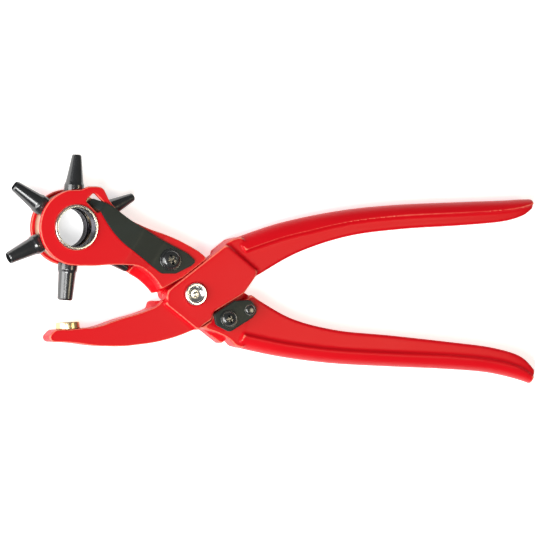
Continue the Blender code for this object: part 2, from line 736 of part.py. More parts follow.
def make_catch():
    """Catch: a plate that swivels on a shouldered screw, with a thumb knob."""
    outline = [(7.2, -7.8, 1.2), (15.6, -2.6, 2.0), (22.6, -2.2, 2.6), (25.4, -6.4, 2.6),
               (23.2, -9.2, 2.0), (13.8, -14.8, 2.2), (8.0, -12.0, 2.2)]
    local = [(x - CATCH_SCREW[0], y - CATCH_SCREW[1], radius) for x, y, radius in outline]
    knob_place = (CATCH_KNOB[0] - CATCH_SCREW[0], CATCH_KNOB[1] - CATCH_SCREW[1])
    plate = slab("catch_plate", local, CATCH_LOW, CATCH_HIGH, 0.3)
    finish(plate, BLACK, CATCH_AXIS)
    cut(plate, disc("catch_hole", (0, 0), 2.35, 0, 12, 24))
    cut(plate, disc("knob_hole", knob_place, 1.3, 0, 12, 16))
    knob = [(0, 9.3), (1.2, 9.2), (2.0, 8.8), (2.25, 8.3), (2.25, CATCH_HIGH + 0.05),
            (1.2, CATCH_HIGH + 0.05), (1.2, CATCH_LOW + 0.1), (0, CATCH_LOW + 0.1)]
    knob_item = turned("catch_knob", knob, 16)
    finish(knob_item, BLUED, CATCH_AXIS)
    knob_item.location = (knob_place[0] * MM, knob_place[1] * MM, 0)
    bearing = CATCH_HIGH + 0.45
    washer = [(3.3, bearing - 0.1), (3.3, CATCH_HIGH + 0.1), (2.35, CATCH_HIGH + 0.1),
              (2.35, bearing - 0.1)]
    finish(turned("catch_washer", washer, 20, closed=True), STEEL, CATCH_AXIS)
    screw = turned("catch_screw", screw_profile(3.5, bearing, 1.4, 1.75, -2.0), 20)
    finish(screw, BLACK, TOOL_AXIS)
    screw.location = (CATCH_SCREW[0] * MM, CATCH_SCREW[1] * MM, 0)


clear_scene()
PARTS = new_collection("rotary_hole_punch")
TOOLS = new_collection("cutters_and_guides")
TOOL_AXIS = axis_empty("pivot_axis", (0, 0))
HUB_AXIS = axis_empty("wheel_axis", HUB)
CATCH_AXIS = axis_empty("catch_axis", CATCH_SCREW)

make_head_lever()
make_anvil_lever()
make_anvil()
make_pivot()
make_opening_spring()
make_bush("near_bush", 1)
make_bush("far_bush", -1)
make_wheel()
for punch_index in range(len(PUNCH_SIZES)):
    make_punch(punch_index)
make_index_spring()
make_index_screw()
make_catch()
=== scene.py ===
"""Looks of a rotary hole punch: forged and coated levers, wheel of tube punches, springs and catch.

Sizes are in millimetres and heights are measured from the tool's middle plane, until a mesh is
written: every mesh is in metres in the frame's own space, and every piece stands at the origin.
"""

import json
import logging
import math
from dataclasses import dataclass
from enum import Enum
from typing import Iterable, Sequence

import bmesh
import bpy
import numpy as np
from mathutils import Matrix, Vector


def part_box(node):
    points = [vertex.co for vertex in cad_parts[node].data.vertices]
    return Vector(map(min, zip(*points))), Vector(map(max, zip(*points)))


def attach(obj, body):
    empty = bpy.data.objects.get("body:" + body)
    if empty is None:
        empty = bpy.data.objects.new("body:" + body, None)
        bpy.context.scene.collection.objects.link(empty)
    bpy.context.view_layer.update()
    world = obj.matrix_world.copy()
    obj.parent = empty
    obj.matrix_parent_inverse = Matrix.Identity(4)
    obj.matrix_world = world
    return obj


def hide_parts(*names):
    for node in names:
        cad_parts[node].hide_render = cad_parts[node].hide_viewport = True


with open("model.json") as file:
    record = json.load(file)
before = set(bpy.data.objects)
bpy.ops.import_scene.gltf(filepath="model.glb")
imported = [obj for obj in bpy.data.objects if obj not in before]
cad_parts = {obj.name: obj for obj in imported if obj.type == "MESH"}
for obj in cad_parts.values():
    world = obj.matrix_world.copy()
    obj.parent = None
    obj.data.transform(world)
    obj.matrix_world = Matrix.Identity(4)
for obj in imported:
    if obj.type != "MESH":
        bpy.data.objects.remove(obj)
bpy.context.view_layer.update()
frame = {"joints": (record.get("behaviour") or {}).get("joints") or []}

LOG = logging.getLogger("rotary_hole_punch")

MM = 0.001              # a millimetre, in metres
SMOOTH = 60.0           # fillet radius of outline corners that blend into one curve
FILLET_ROOM = 0.48      # most of a side that one fillet may take
STRAIGHT = 89.9         # half angle, in degrees, past which a corner counts as straight
THROUGH = 20.0          # height past every face, for cutters that go right through
CLEAR = 12.0            # height past the levers' faces, for cutters open to one side
SKIN_VOXEL = 0.4        # grid size of a coated lever's skin
SKIN_PASSES = 6         # smoothing passes over that skin
SHARP = 32.0            # edges over this angle, in degrees, stay sharp on bare pieces
SHARP_COATED = 60.0     # the same on coated levers
EDGE_GAIN = 2.0         # gain from curvature to the stored edge mark
# On coated levers the edge mark drives the painted edge highlight.
EDGE_GAIN_COATED = 9.0  # the same on coated levers

Point = tuple[float, float]
Corner = tuple[float, float, float]
Colour = tuple[float, float, float]
Station = tuple[float, float, float, float, float, float]


class Body(Enum):
    """Moving bodies of the tool, by their names in the frame."""

    HEAD = "head_lever"
    ANVIL = "anvil_lever"
    WHEEL = "punch_wheel"
    CATCH = "catch"


class Cut(Enum):
    """What a tool shape does to the shape it is applied to."""

    ADD = "UNION"
    REMOVE = "DIFFERENCE"


Tool = tuple[Cut, bpy.types.Object]


# Places ----------------------------------------------------------------------------------------

def node_centre(node: str) -> Point:
    """Return the middle of a frame node in plan, in millimetres.

    Args:
        node: The node's name.

    Returns:
        Its x and y.
    """
    low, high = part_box(node)
    return ((low[0] + high[0]) / 2 / MM, (low[1] + high[1]) / 2 / MM)


@dataclass(frozen=True)
class Layout:
    """Where the frame puts the axes that the pieces are built round."""

    hub: Point
    index_screw: Point
    catch_screw: Point
    catch_knob: Point
    middle: float
    closing: float

    @classmethod
    def read(cls) -> "Layout":
        """Return the layout of the loaded frame."""
        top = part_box("near_bush")[1][2] / MM
        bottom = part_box("far_bush")[0][2] / MM
        hinge = next(j for j in frame["joints"] if j["name"] == "lever_pivot")
        return cls(
            hub=node_centre("near_bush"),
            index_screw=node_centre("index_screw"),
            catch_screw=node_centre("catch_screw"),
            catch_knob=node_centre("catch_knob"),
            middle=(top + bottom) / 2,
            closing=-min(hinge["range_deg"]),
        )


LAYOUT = Layout.read()


# Plane geometry --------------------------------------------------------------------------------

def polar(centre: Sequence[float], radius: float, degrees: float) -> Point:
    """Return the point at a distance and direction from a centre."""
    angle = math.radians(degrees)
    return (centre[0] + radius * math.cos(angle), centre[1] + radius * math.sin(angle))


def turned_point(point: Sequence[float], degrees: float) -> Point:
    """Return a point turned about the pivot axis."""
    radius = math.hypot(point[0], point[1])
    return polar((0, 0), radius, math.degrees(math.atan2(point[1], point[0])) + degrees)


def fillet(before: Vector, corner: Vector, after: Vector, radius: float,
           steps: int) -> list[Vector]:
    """Replace one corner by an arc.

    Args:
        before: The corner before this one.
        corner: The corner itself.
        after: The corner after it.
        radius: Radius asked for; the arc is smaller where there is no room.
        steps: Segments in the arc.

    Returns:
        Points along the arc.
    """
    to_before = before - corner
    to_after = after - corner
    room = FILLET_ROOM * min(to_before.length, to_after.length)
    to_before.normalize()
    to_after.normalize()
    half = to_before.angle(to_after) / 2
    if half > math.radians(STRAIGHT):
        return [corner]
    reach = min(radius / math.tan(half), room)
    centre = corner + (to_before + to_after).normalized() * (reach / math.cos(half))
    start = corner + to_before * reach - centre
    stop = corner + to_after * reach - centre
    sweep = math.atan2(start.x * stop.y - start.y * stop.x, start.dot(stop))
    return [centre + Matrix.Rotation(sweep * i / steps, 2) @ start for i in range(steps + 1)]


def rounded(corners: Sequence[Corner], steps: int = 8, closed: bool = True) -> list[Vector]:
    """Round the corners of an outline or a turned profile.

    Args:
        corners: Corners as (x, y, radius).
        steps: Segments in each arc.
        closed: Whether the last corner joins the first.

    Returns:
        The outline's points.
    """
    points: list[Vector] = []
    last = len(corners) - 1
    for index, (x, y, radius) in enumerate(corners):
        corner = Vector((x, y))
        if radius == 0 or (not closed and index in (0, last)):
            points.append(corner)
            continue
        before = Vector(corners[index - 1][:2])
        after = Vector(corners[(index + 1) % len(corners)][:2])
        points.extend(fillet(before, corner, after, radius, steps))
    return points


def arc(centre: Point, radius: float, start: float, stop: float, count: int) -> list[Corner]:
    """Return corners along an arc, from one direction to another."""
    span = stop - start
    return [(*polar(centre, radius, start + span * i / count), 0.0) for i in range(count + 1)]


def mirrored(corners: Sequence[Corner]) -> list[Corner]:
    """Return an outline mirrored across the tool's long axis."""
    return [(x, -y, radius) for x, y, radius in reversed(corners)]


# Meshes ----------------------------------------------------------------------------------------

def link(name: str, mesh: bpy.types.Mesh | bpy.types.Curve) -> bpy.types.Object:
    """Put new data into the scene as an object at the origin."""
    item = bpy.data.objects.new(name, mesh)
    bpy.context.scene.collection.objects.link(item)
    return item


def from_bmesh(name: str, shape: bmesh.types.BMesh) -> bpy.types.Object:
    """Turn a bmesh in millimetres into an object in metres, with its faces pointing out."""
    bmesh.ops.remove_doubles(shape, verts=shape.verts, dist=0.0005)
    bmesh.ops.recalc_face_normals(shape, faces=shape.faces)
    bmesh.ops.scale(shape, vec=(MM, MM, MM), verts=shape.verts)
    mesh = bpy.data.meshes.new(name)
    shape.to_mesh(mesh)
    shape.free()
    return link(name, mesh)


def baked(item: bpy.types.Object) -> bpy.types.Object:
    """Replace an object by the plain mesh that its modifiers or curve make.

    Args:
        item: The object, at the origin.

    Returns:
        A mesh object of the same name with no modifiers.
    """
    bpy.context.view_layer.update()
    graph = bpy.context.evaluated_depsgraph_get()
    mesh = bpy.data.meshes.new_from_object(item.evaluated_get(graph))
    mesh.transform(item.matrix_basis)
    name = item.name
    bpy.data.objects.remove(item, do_unlink=True)
    result = link(name, mesh)
    result.name = name
    return result


def weld(item: bpy.types.Object, distance: float = 0.002) -> bpy.types.Object:
    """Merge an object's doubled points and turn its faces out."""
    shape = bmesh.new()
    shape.from_mesh(item.data)
    bmesh.ops.remove_doubles(shape, verts=shape.verts, dist=distance * MM)
    bmesh.ops.recalc_face_normals(shape, faces=shape.faces)
    shape.to_mesh(item.data)
    shape.free()
    return item


def slab(name: str, corners: Sequence[Corner], low: float, high: float,
         edge: float = 0.0, steps: int = 8) -> bpy.types.Object:
    """Extrude a rounded outline between two heights.

    Args:
        name: The object's name.
        corners: Outline corners as (x, y, radius).
        low: Lower height.
        high: Upper height.
        edge: Radius of the rounded rims.
        steps: Segments in each corner's arc.

    Returns:
        A closed mesh object.
    """
    points = rounded(corners, steps)
    curve = bpy.data.curves.new(name, "CURVE")
    curve.dimensions = "2D"
    curve.fill_mode = "BOTH"
    curve.extrude = ((high - low) / 2 - edge) * MM
    curve.bevel_depth = edge * MM
    curve.bevel_resolution = 3
    curve.offset = -edge * MM
    spline = curve.splines.new("POLY")
    spline.points.add(len(points) - 1)
    for spot, point in zip(spline.points, points):
        spot.co = (point[0] * MM, point[1] * MM, 0, 1)
    spline.use_cyclic_u = True
    item = link(name, curve)
    item.location.z = ((low + high) / 2 + LAYOUT.middle) * MM
    return weld(baked(item))


def disc(name: str, centre: Sequence[float], radius: float, low: float, high: float,
         sides: int = 64) -> bpy.types.Object:
    """Make an upright cylinder between two heights."""
    shape = bmesh.new()
    place = Matrix.Translation((centre[0], centre[1], (low + high) / 2 + LAYOUT.middle))
    bmesh.ops.create_cone(shape, cap_ends=True, segments=sides, radius1=radius, radius2=radius,
                          depth=high - low, matrix=place)
    return from_bmesh(name, shape)


def hull(name: str, points: Iterable[Sequence[float]]) -> bpy.types.Object:
    """Make the convex block through a few corner points."""
    shape = bmesh.new()
    for x, y, z in points:
        shape.verts.new((x, y, z + LAYOUT.middle))
    bmesh.ops.convex_hull(shape, input=shape.verts)
    return from_bmesh(name, shape)


def loft(name: str, rings: Sequence[Sequence[Sequence[float]]]) -> bpy.types.Object:
    """Skin through rings of equal point counts, capped at both ends."""
    shape = bmesh.new()
    loops = []
    for ring in rings:
        loops.append([shape.verts.new((x, y, z + LAYOUT.middle)) for x, y, z in ring])
    for first, second in zip(loops, loops[1:]):
        for index in range(len(first)):
            after = (index + 1) % len(first)
            shape.faces.new((first[index], first[after], second[after], second[index]))
    shape.faces.new(loops[0])
    shape.faces.new(loops[-1])
    return from_bmesh(name, shape)


def revolve(name: str, corners: Sequence[Corner], place: Matrix, closed: bool = False,
            sides: int = 96, steps: int = 5) -> bpy.types.Object:
    """Turn a profile about an axis.

    Args:
        name: The object's name.
        corners: Profile corners as (radius, height, fillet radius).
        place: Matrix in millimetres that takes the Z axis to the turning axis.
        closed: Whether the profile is a loop, as for a tube.
        sides: Segments round the axis.
        steps: Segments in each profile fillet.

    Returns:
        A closed mesh object, with the profile's arc length stored as "along".
    """
    profile = rounded(corners, steps, closed)
    shape = bmesh.new()
    layer = shape.verts.layers.float.new("along")
    rings = []
    reach = 0.0
    previous = profile[0]
    for point in profile:
        reach += (point - previous).length
        previous = point
        count = 1 if abs(point.x) < 1e-6 else sides
        ring = []
        for index in range(count):
            x, y = polar((0, 0), point.x, 360 * index / sides)
            vert = shape.verts.new(place @ Vector((x, y, point.y)))
            vert[layer] = reach
            ring.append(vert)
        rings.append(ring)
    pairs = list(zip(rings, rings[1:])) + ([(rings[-1], rings[0])] if closed else [])
    for first, second in pairs:
        for index in range(sides):
            after = (index + 1) % sides
            corners_here = [first[index % len(first)], first[after % len(first)],
                            second[after % len(second)], second[index % len(second)]]
            unique = list(dict.fromkeys(corners_here))
            if len(unique) > 2:
                shape.faces.new(unique)
    return from_bmesh(name, shape)


def upright(x: float, y: float) -> Matrix:
    """Return the matrix, in millimetres, of an axis that stands at a place in plan."""
    return Matrix.Translation((x, y, LAYOUT.middle))


def lying(origin: Sequence[float], degrees: float) -> Matrix:
    """Return the matrix, in millimetres, of an axis that lies in the middle plane."""
    place = Matrix.Translation((origin[0], origin[1], LAYOUT.middle))
    turn = Matrix.Rotation(math.radians(degrees), 4, "Z") @ Matrix.Rotation(math.pi / 2, 4, "Y")
    return place @ turn


def adding(*shapes: bpy.types.Object) -> list[Tool]:
    """Return the steps that join shapes to a piece."""
    return [(Cut.ADD, shape) for shape in shapes]


def removing(*shapes: bpy.types.Object) -> list[Tool]:
    """Return the steps that cut shapes out of a piece."""
    return [(Cut.REMOVE, shape) for shape in shapes]


def apply_tools(item: bpy.types.Object, steps: Sequence[Tool]) -> bpy.types.Object:
    """Join and cut a shape with tool shapes, in order, and drop the tools.

    Args:
        item: The shape that is worked on.
        steps: What each tool does, and the tool.

    Returns:
        The finished plain mesh.
    """
    for action, tool in steps:
        modifier = item.modifiers.new(tool.name, "BOOLEAN")
        modifier.operation = action.value
        modifier.object = tool
    result = baked(item)
    for _, tool in steps:
        bpy.data.objects.remove(tool, do_unlink=True)
    return weld(result, 0.001)


def soften(item: bpy.types.Object) -> bpy.types.Object:
    """Give a sharp shape the even, slightly rounded skin of a coated forging."""
    remesh = item.modifiers.new("skin", "REMESH")
    remesh.mode = "VOXEL"
    remesh.voxel_size = SKIN_VOXEL * MM
    smooth = item.modifiers.new("ease", "SMOOTH")
    smooth.factor = 0.5
    smooth.iterations = SKIN_PASSES
    return baked(item)


def column(items: bpy.types.bpy_prop_collection, name: str, width: int,
           kind: type) -> np.ndarray:
    """Return one property of a mesh's points or edges, a row for each."""
    values = np.empty(len(items) * width, kind)
    items.foreach_get(name, values)
    return values.reshape(-1, width)


def mark_edges(item: bpy.types.Object, scale: float) -> None:
    """Store how sharply the surface turns outwards at each point, as "edge" from 0 to 1.

    Args:
        item: The mesh object.
        scale: Gain from curvature to the stored value.
    """
    mesh = item.data
    count = len(mesh.vertices)
    places = column(mesh.vertices, "co", 3, np.float64)
    normals = column(mesh.vertices, "normal", 3, np.float64)
    ends = column(mesh.edges, "vertices", 2, np.int64)
    span = places[ends[:, 1]] - places[ends[:, 0]]
    length = np.maximum(np.linalg.norm(span, axis=1), 1e-9)
    bend = np.zeros(count)
    degree = np.zeros(count)
    for end, sign in ((0, -1.0), (1, 1.0)):
        drop = sign * np.einsum("ij,ij->i", span, normals[ends[:, end]]) / length
        np.add.at(bend, ends[:, end], drop)
        np.add.at(degree, ends[:, end], 1.0)
    value = bend / np.maximum(degree, 1.0)
    for _ in range(2):
        total = value.copy()
        for end, other in ((0, 1), (1, 0)):
            np.add.at(total, ends[:, end], value[ends[:, other]])
        value = total / (degree + 1.0)
    layer = mesh.attributes.new("edge", "FLOAT", "POINT")
    layer.data.foreach_set("value", np.clip(value * scale, 0.0, 1.0).astype(np.float32))


def shade(item: bpy.types.Object, degrees: float) -> None:
    """Shade a piece smooth and keep the edges over an angle sharp."""
    item.data.shade_smooth()
    item.data.set_sharp_from_angle(angle=math.radians(degrees))


# Shader groups ---------------------------------------------------------------------------------

def connect(tree: bpy.types.NodeTree, value: object, socket: bpy.types.NodeSocket) -> None:
    """Link another socket to a socket, or set a plain value on it."""
    if isinstance(value, bpy.types.NodeSocket):
        tree.links.new(value, socket)
    else:
        socket.default_value = value


class ShaderGroup:
    """A shader node group being built: its nodes, its inputs and its outputs."""

    def __init__(self, name: str, inputs: dict[str, float], outputs: Sequence[str]) -> None:
        """Make the group.

        Args:
            name: The group's name.
            inputs: Names and defaults of its number inputs.
            outputs: Names of its number outputs.
        """
        self.tree = bpy.data.node_groups.new(name, "ShaderNodeTree")
        for title, value in inputs.items():
            socket = self.tree.interface.new_socket(title, in_out="INPUT",
                                                    socket_type="NodeSocketFloat")
            socket.default_value = value
        for title in outputs:
            self.tree.interface.new_socket(title, in_out="OUTPUT", socket_type="NodeSocketFloat")
        self.source = self.tree.nodes.new("NodeGroupInput")
        self.result = self.tree.nodes.new("NodeGroupOutput")

    def node(self, kind: str, **settings: object) -> bpy.types.Node:
        """Add a node of a kind and set its properties."""
        node = self.tree.nodes.new(kind)
        for name, value in settings.items():
            setattr(node, name, value)
        return node

    def join(self, out: bpy.types.NodeSocket, into: bpy.types.NodeSocket) -> None:
        """Link one socket to another."""
        self.tree.links.new(out, into)

    def put_out(self, name: str, out: bpy.types.NodeSocket) -> None:
        """Hand a socket out of the group under one of its output names."""
        self.join(out, self.result.inputs[name])

    def mark(self, name: str) -> bpy.types.NodeSocket:
        """Read one of the mesh's own attributes as a number."""
        return self.node("ShaderNodeAttribute", attribute_name=name).outputs["Fac"]

    def noise(self, scale: object, detail: float = 2.0) -> bpy.types.NodeSocket:
        """Add noise on Object coordinates, with its scale a socket or a number."""
        place = self.node("ShaderNodeTexCoord")
        node = self.node("ShaderNodeTexNoise")
        self.join(place.outputs["Object"], node.inputs["Vector"])
        connect(self.tree, scale, node.inputs["Scale"])
        node.inputs["Detail"].default_value = detail
        return node.outputs["Fac"]

    def math(self, operation: str, first: object, second: object = 0.0) -> bpy.types.NodeSocket:
        """Add a math node on two sockets or numbers and return its output."""
        node = self.node("ShaderNodeMath", operation=operation)
        for socket, value in zip(node.inputs, (first, second)):
            connect(self.tree, value, socket)
        return node.outputs[0]


def make_grain_group() -> bpy.types.NodeTree:
    """Build the fine surface grain: a height for bump and a slow tone from 0 to 1."""
    group = ShaderGroup("surface_grain", {"Fine Scale": 1500.0, "Slow Scale": 60.0},
                        ["Height", "Tone"])
    group.put_out("Height", group.noise(group.source.outputs["Fine Scale"]))
    group.put_out("Tone", group.noise(group.source.outputs["Slow Scale"], 4.0))
    return group.tree


def make_wear_and_highlight_group() -> bpy.types.NodeTree:
    """Build the edge mask: a broken-up mask on edges that a mesh has marked, for worn edges on
    metal and for the painted edge highlight on the coating.
    """
    group = ShaderGroup("edge_wear_and_highlight", {"Start": 0.35, "Softness": 0.3, "Break Up": 0.5}, ["Mask"])
    centred = group.math("SUBTRACT", group.noise(420.0, 5.0), 0.5)
    broken = group.math("MULTIPLY", centred, group.source.outputs["Break Up"])
    raised = group.math("ADD", group.mark("edge"), broken)
    ramp = group.node("ShaderNodeMapRange", interpolation_type="SMOOTHSTEP")
    group.join(raised, ramp.inputs["Value"])
    group.join(group.source.outputs["Start"], ramp.inputs["From Min"])
    top = group.math("ADD", group.source.outputs["Start"], group.source.outputs["Softness"])
    group.join(top, ramp.inputs["From Max"])
    group.put_out("Mask", ramp.outputs["Result"])
    return group.tree


def make_turning_group() -> bpy.types.NodeTree:
    """Build the lathe marks: fine grooves across a turned piece's profile."""
    group = ShaderGroup("turning_marks", {"Pitch": 0.25, "Unevenness": 0.5}, ["Height"])
    turns = group.math("DIVIDE", group.mark("along"), group.source.outputs["Pitch"])
    drift = group.math("MULTIPLY", group.noise(250.0), group.source.outputs["Unevenness"])
    phase = group.math("MULTIPLY", group.math("ADD", turns, drift), 2 * math.pi)
    group.put_out("Height", group.math("SINE", phase))
    return group.tree


GRAIN = make_grain_group()
EDGE_WEAR_AND_HIGHLIGHT = make_wear_and_highlight_group()
TURNING = make_turning_group()


# Finishes --------------------------------------------------------------------------------------

class MaterialSheet:
    """A material being built, with short calls for its nodes."""

    def __init__(self, name: str, roughness: float, metallic: float) -> None:
        """Start a material from a Principled shader with plain settings."""
        self.material = bpy.data.materials.new(name)
        self.material.use_nodes = True
        self.tree = self.material.node_tree
        self.shader = self.tree.nodes["Principled BSDF"]
        self.shader.inputs["Roughness"].default_value = roughness
        self.shader.inputs["Metallic"].default_value = metallic

    def group(self, tree: bpy.types.NodeTree, **values: float) -> bpy.types.Node:
        """Place a shader group with its own values; underscores in names stand for spaces."""
        node = self.tree.nodes.new("ShaderNodeGroup")
        node.node_tree = tree
        for name, value in values.items():
            node.inputs[name.replace("_", " ")].default_value = value
        return node

    def mix(self, low: object, high: object, share: bpy.types.NodeSocket) -> bpy.types.NodeSocket:
        """Mix two colours, given as sockets or values, and return the colour socket."""
        node = self.tree.nodes.new("ShaderNodeMix")
        node.data_type = "RGBA"
        self.tree.links.new(share, node.inputs[0])
        for socket, value in ((node.inputs[6], low), (node.inputs[7], high)):
            connect(self.tree, (*value, 1.0) if isinstance(value, tuple) else value, socket)
        return node.outputs[2]

    def spread(self, share: bpy.types.NodeSocket, low: float, high: float) -> bpy.types.NodeSocket:
        """Map a 0 to 1 socket onto a range and return the number socket."""
        node = self.tree.nodes.new("ShaderNodeMapRange")
        node.inputs["To Min"].default_value = low
        node.inputs["To Max"].default_value = high
        self.tree.links.new(share, node.inputs["Value"])
        return node.outputs["Result"]

    def bump(self, height: bpy.types.NodeSocket, strength: float, distance: float,
             under: bpy.types.NodeSocket | None = None) -> bpy.types.NodeSocket:
        """Add a bump and return its normal socket."""
        node = self.tree.nodes.new("ShaderNodeBump")
        node.inputs["Strength"].default_value = strength
        node.inputs["Distance"].default_value = distance * MM
        self.tree.links.new(height, node.inputs["Height"])
        if under is not None:
            self.tree.links.new(under, node.inputs["Normal"])
        return node.outputs["Normal"]

    def feed(self, out: bpy.types.NodeSocket, name: str) -> None:
        """Link a socket to one of the shader's inputs."""
        self.tree.links.new(out, self.shader.inputs[name])


@dataclass(frozen=True)
class Coating:
    """Glossy powder coating over a forging: slight orange peel, and a pale red along the edges that
    is partly a thinner coat and partly a painted highlight.
    """

    name: str
    colour: Colour
    deep: Colour
    # Pale red of the edges: a painted highlight, partly a thinner coat.
    thin_coat_and_highlight: Colour
    roughness: float
    slot: str

    def material(self) -> bpy.types.Material:
        """Return the coating's material."""
        sheet = MaterialSheet(self.name, self.roughness, 0.0)
        grain = sheet.group(GRAIN, Fine_Scale=900.0, Slow_Scale=45.0)
        edge_mask = sheet.group(EDGE_WEAR_AND_HIGHLIGHT, Start=0.6, Softness=0.4, Break_Up=0.15)
        body = sheet.mix(self.deep, self.colour, sheet.spread(grain.outputs["Tone"], 0.35, 1.0))
        # Towards the edges the red turns pale: a painted highlight, partly a thinner coat.
        sheet.feed(sheet.mix(body, self.thin_coat_and_highlight, sheet.spread(edge_mask.outputs["Mask"], 0.0, 0.7)),
                   "Base Color")
        rough = sheet.spread(grain.outputs["Tone"], self.roughness - 0.05, self.roughness + 0.07)
        sheet.feed(rough, "Roughness")
        sheet.feed(sheet.bump(grain.outputs["Height"], 0.12, 0.06), "Normal")
        sheet.shader.inputs["IOR"].default_value = 1.26
        return sheet.material


@dataclass(frozen=True)
class Steel:
    """Bare, blackened or plated metal with grain, worn edges and, if turned, lathe marks."""

    name: str
    colour: Colour
    stain: Colour
    bare: Colour
    roughness: float
    metallic: float
    slot: str
    pitch: float = 0.0
    wear_start: float = 0.4
    marks: float = 0.14
    gloss: float = 0.5
    ior: float = 1.5

    def material(self) -> bpy.types.Material:
        """Return the metal's material."""
        sheet = MaterialSheet(self.name, self.roughness, self.metallic)
        grain = sheet.group(GRAIN, Fine_Scale=2600.0, Slow_Scale=140.0)
        edge_mask = sheet.group(EDGE_WEAR_AND_HIGHLIGHT, Start=self.wear_start, Softness=0.35, Break_Up=0.45)
        body = sheet.mix(self.stain, self.colour, sheet.spread(grain.outputs["Tone"], 0.1, 1.0))
        sheet.feed(sheet.mix(body, self.bare, edge_mask.outputs["Mask"]), "Base Color")
        rough = sheet.spread(grain.outputs["Tone"], self.roughness - 0.06, self.roughness + 0.1)
        sheet.feed(rough, "Roughness")
        normal = sheet.bump(grain.outputs["Height"], 0.1, 0.02)
        if self.pitch > 0:
            marks = sheet.group(TURNING, Pitch=self.pitch, Unevenness=0.6)
            normal = sheet.bump(marks.outputs["Height"], self.marks, 0.02, normal)
        sheet.feed(normal, "Normal")
        sheet.shader.inputs["Specular IOR Level"].default_value = self.gloss
        sheet.shader.inputs["IOR"].default_value = self.ior
        return sheet.material


# Its third colour is the pale red of the painted edge highlight.
RED = Coating("red_powder_coat", (0.66, 0.006, 0.011), (0.6, 0.002, 0.011), (0.92, 0.26, 0.17),
              0.34, "red_coating")
LEAF_BLACK = Steel("blackened_leaf", (0.022, 0.03, 0.027), (0.011, 0.015, 0.013),
                   (0.3, 0.31, 0.3), 0.42, 0.2, "black_steel", gloss=0.3)
SCREW_BLACK = Steel("blackened_screw", (0.016, 0.018, 0.018), (0.008, 0.01, 0.01),
                    (0.5, 0.5, 0.48), 0.2, 0.1, "black_steel", 0.3, 0.6, 0.08, 0.9, 1.65)
TUBE_BLACK = Steel("polished_black_tube", (0.014, 0.016, 0.017), (0.008, 0.009, 0.01),
                   (0.4, 0.4, 0.39), 0.2, 0.05, "blued_steel", 0.35, 0.75, 0.12, 0.9, 1.62)
BRIGHT = Steel("bright_turned_steel", (0.8, 0.8, 0.78), (0.7, 0.7, 0.68), (0.92, 0.92, 0.9),
               0.2, 1.0, "bright_steel", 0.4, 0.95, 0.03)
# Dark steel that paints the shade inside the hub's bore; its edges stay lighter.
BORE_PAINTED_SHADE = Steel("bore_steel_painted_shade", (0.09, 0.085, 0.1), (0.03, 0.03, 0.035),
                  (0.7, 0.7, 0.72), 0.2, 0.9, "bright_steel", 0.4, 0.45, 0.05)
WHEEL_TAN = Steel("yellow_passivated_steel", (0.6, 0.47, 0.32), (0.42, 0.32, 0.2),
                  (0.8, 0.76, 0.66), 0.32, 0.9, "wheel_steel", 0.3)
BRASS = Steel("turned_brass", (0.86, 0.7, 0.4), (0.7, 0.5, 0.24), (0.95, 0.84, 0.58),
              0.26, 1.0, "brass", 0.3, 0.6, 0.1)


def finish_piece(item: bpy.types.Object, look: Coating | Steel, body: Body, *nodes: str,
                 sharp: float = SHARP, edge_gain: float = EDGE_GAIN) -> bpy.types.Object:
    """Shade and dress a finished mesh and hand it to its body.

    Args:
        item: The piece, at the origin.
        look: Its finish.
        body: The body that it moves with.
        nodes: Frame nodes that it stands for.
        sharp: Angle in degrees over which its edges stay sharp.
        edge_gain: Gain of the edge mark that the worn edges and the painted edge highlight read.

    Returns:
        The same piece.
    """
    shade(item, sharp)
    mark_edges(item, edge_gain)
    item.data.materials.clear()
    item.data.materials.append(look.material())
    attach(item, body.value)
    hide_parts(*nodes)
    LOG.info("%s: %d faces on %s", item.name, len(item.data.polygons), body.value)
    return item


def coat_lever(item: bpy.types.Object, body: Body, node: str) -> bpy.types.Object:
    """Give a lever its soft skin and its coating, and hand it to its body."""
    return finish_piece(soften(item), RED, body, node, sharp=SHARP_COATED,
                        edge_gain=EDGE_GAIN_COATED)


def paint_bore_shade(item: bpy.types.Object, radius: float, rim: float,
                side: int) -> bpy.types.Object:
    """Paint shade on the inside of a hub piece: a dark steel finish stands for the shade inside the
    bore.
        radius: Faces nearer to the hub's axis than this are inside.
        rim: Height past which the bright rim begins.
        side: +1 where the rim is above the inside, -1 where it is below.

    Returns:
        The same piece.
    """
    item.data.materials.append(BORE_PAINTED_SHADE.material())
    for face in item.data.polygons:
        across = face.center.x / MM - LAYOUT.hub[0]
        along = face.center.y / MM - LAYOUT.hub[1]
        inside = math.hypot(across, along) < radius
        face.material_index = int(inside and (face.center.z / MM - rim) * side < 0)
    return item


# Levers ----------------------------------------------------------------------------------------

@dataclass(frozen=True)
class JointSizes:
    """Heights and clearances that both levers share."""

    plate: float = 6.0
    limb: float = 4.5
    cheek: float = 6.5
    cheek_inner: float = 4.3
    lap: float = 0.15
    fit: float = 0.35
    plate_upper: float = 7.5
    plate_lower: float = 9.8
    pivot_bore: float = 4.06
    coil_pocket: float = 6.4
    coil_depth: float = 1.9
    coil_radius: float = 5.3
    coil_hole: float = 0.9
    coil_hole_depth: float = 3.8
    open_side: float = 126.6
    foot_side: float = 300.0
    side_length: float = 34.0

    @property
    def limb_top(self) -> float:
        """Half height of the shapes that end just under a limb's face."""
        return self.limb - 0.05


JOINT = JointSizes()

PLATE: list[Corner] = [
    (-12.0, -2.0, 1.5), (-11.1, 1.4, 1.5), (13.0, 19.3, 0), (26.0, 9.0, 2.0),
    (25.0, 6.6, 1.0), (20.4, 0.4, 1.0), (7.8, -6.9, 1.0), (7.0, -9.8, 1.5), (2.4, -12.7, 0),
]


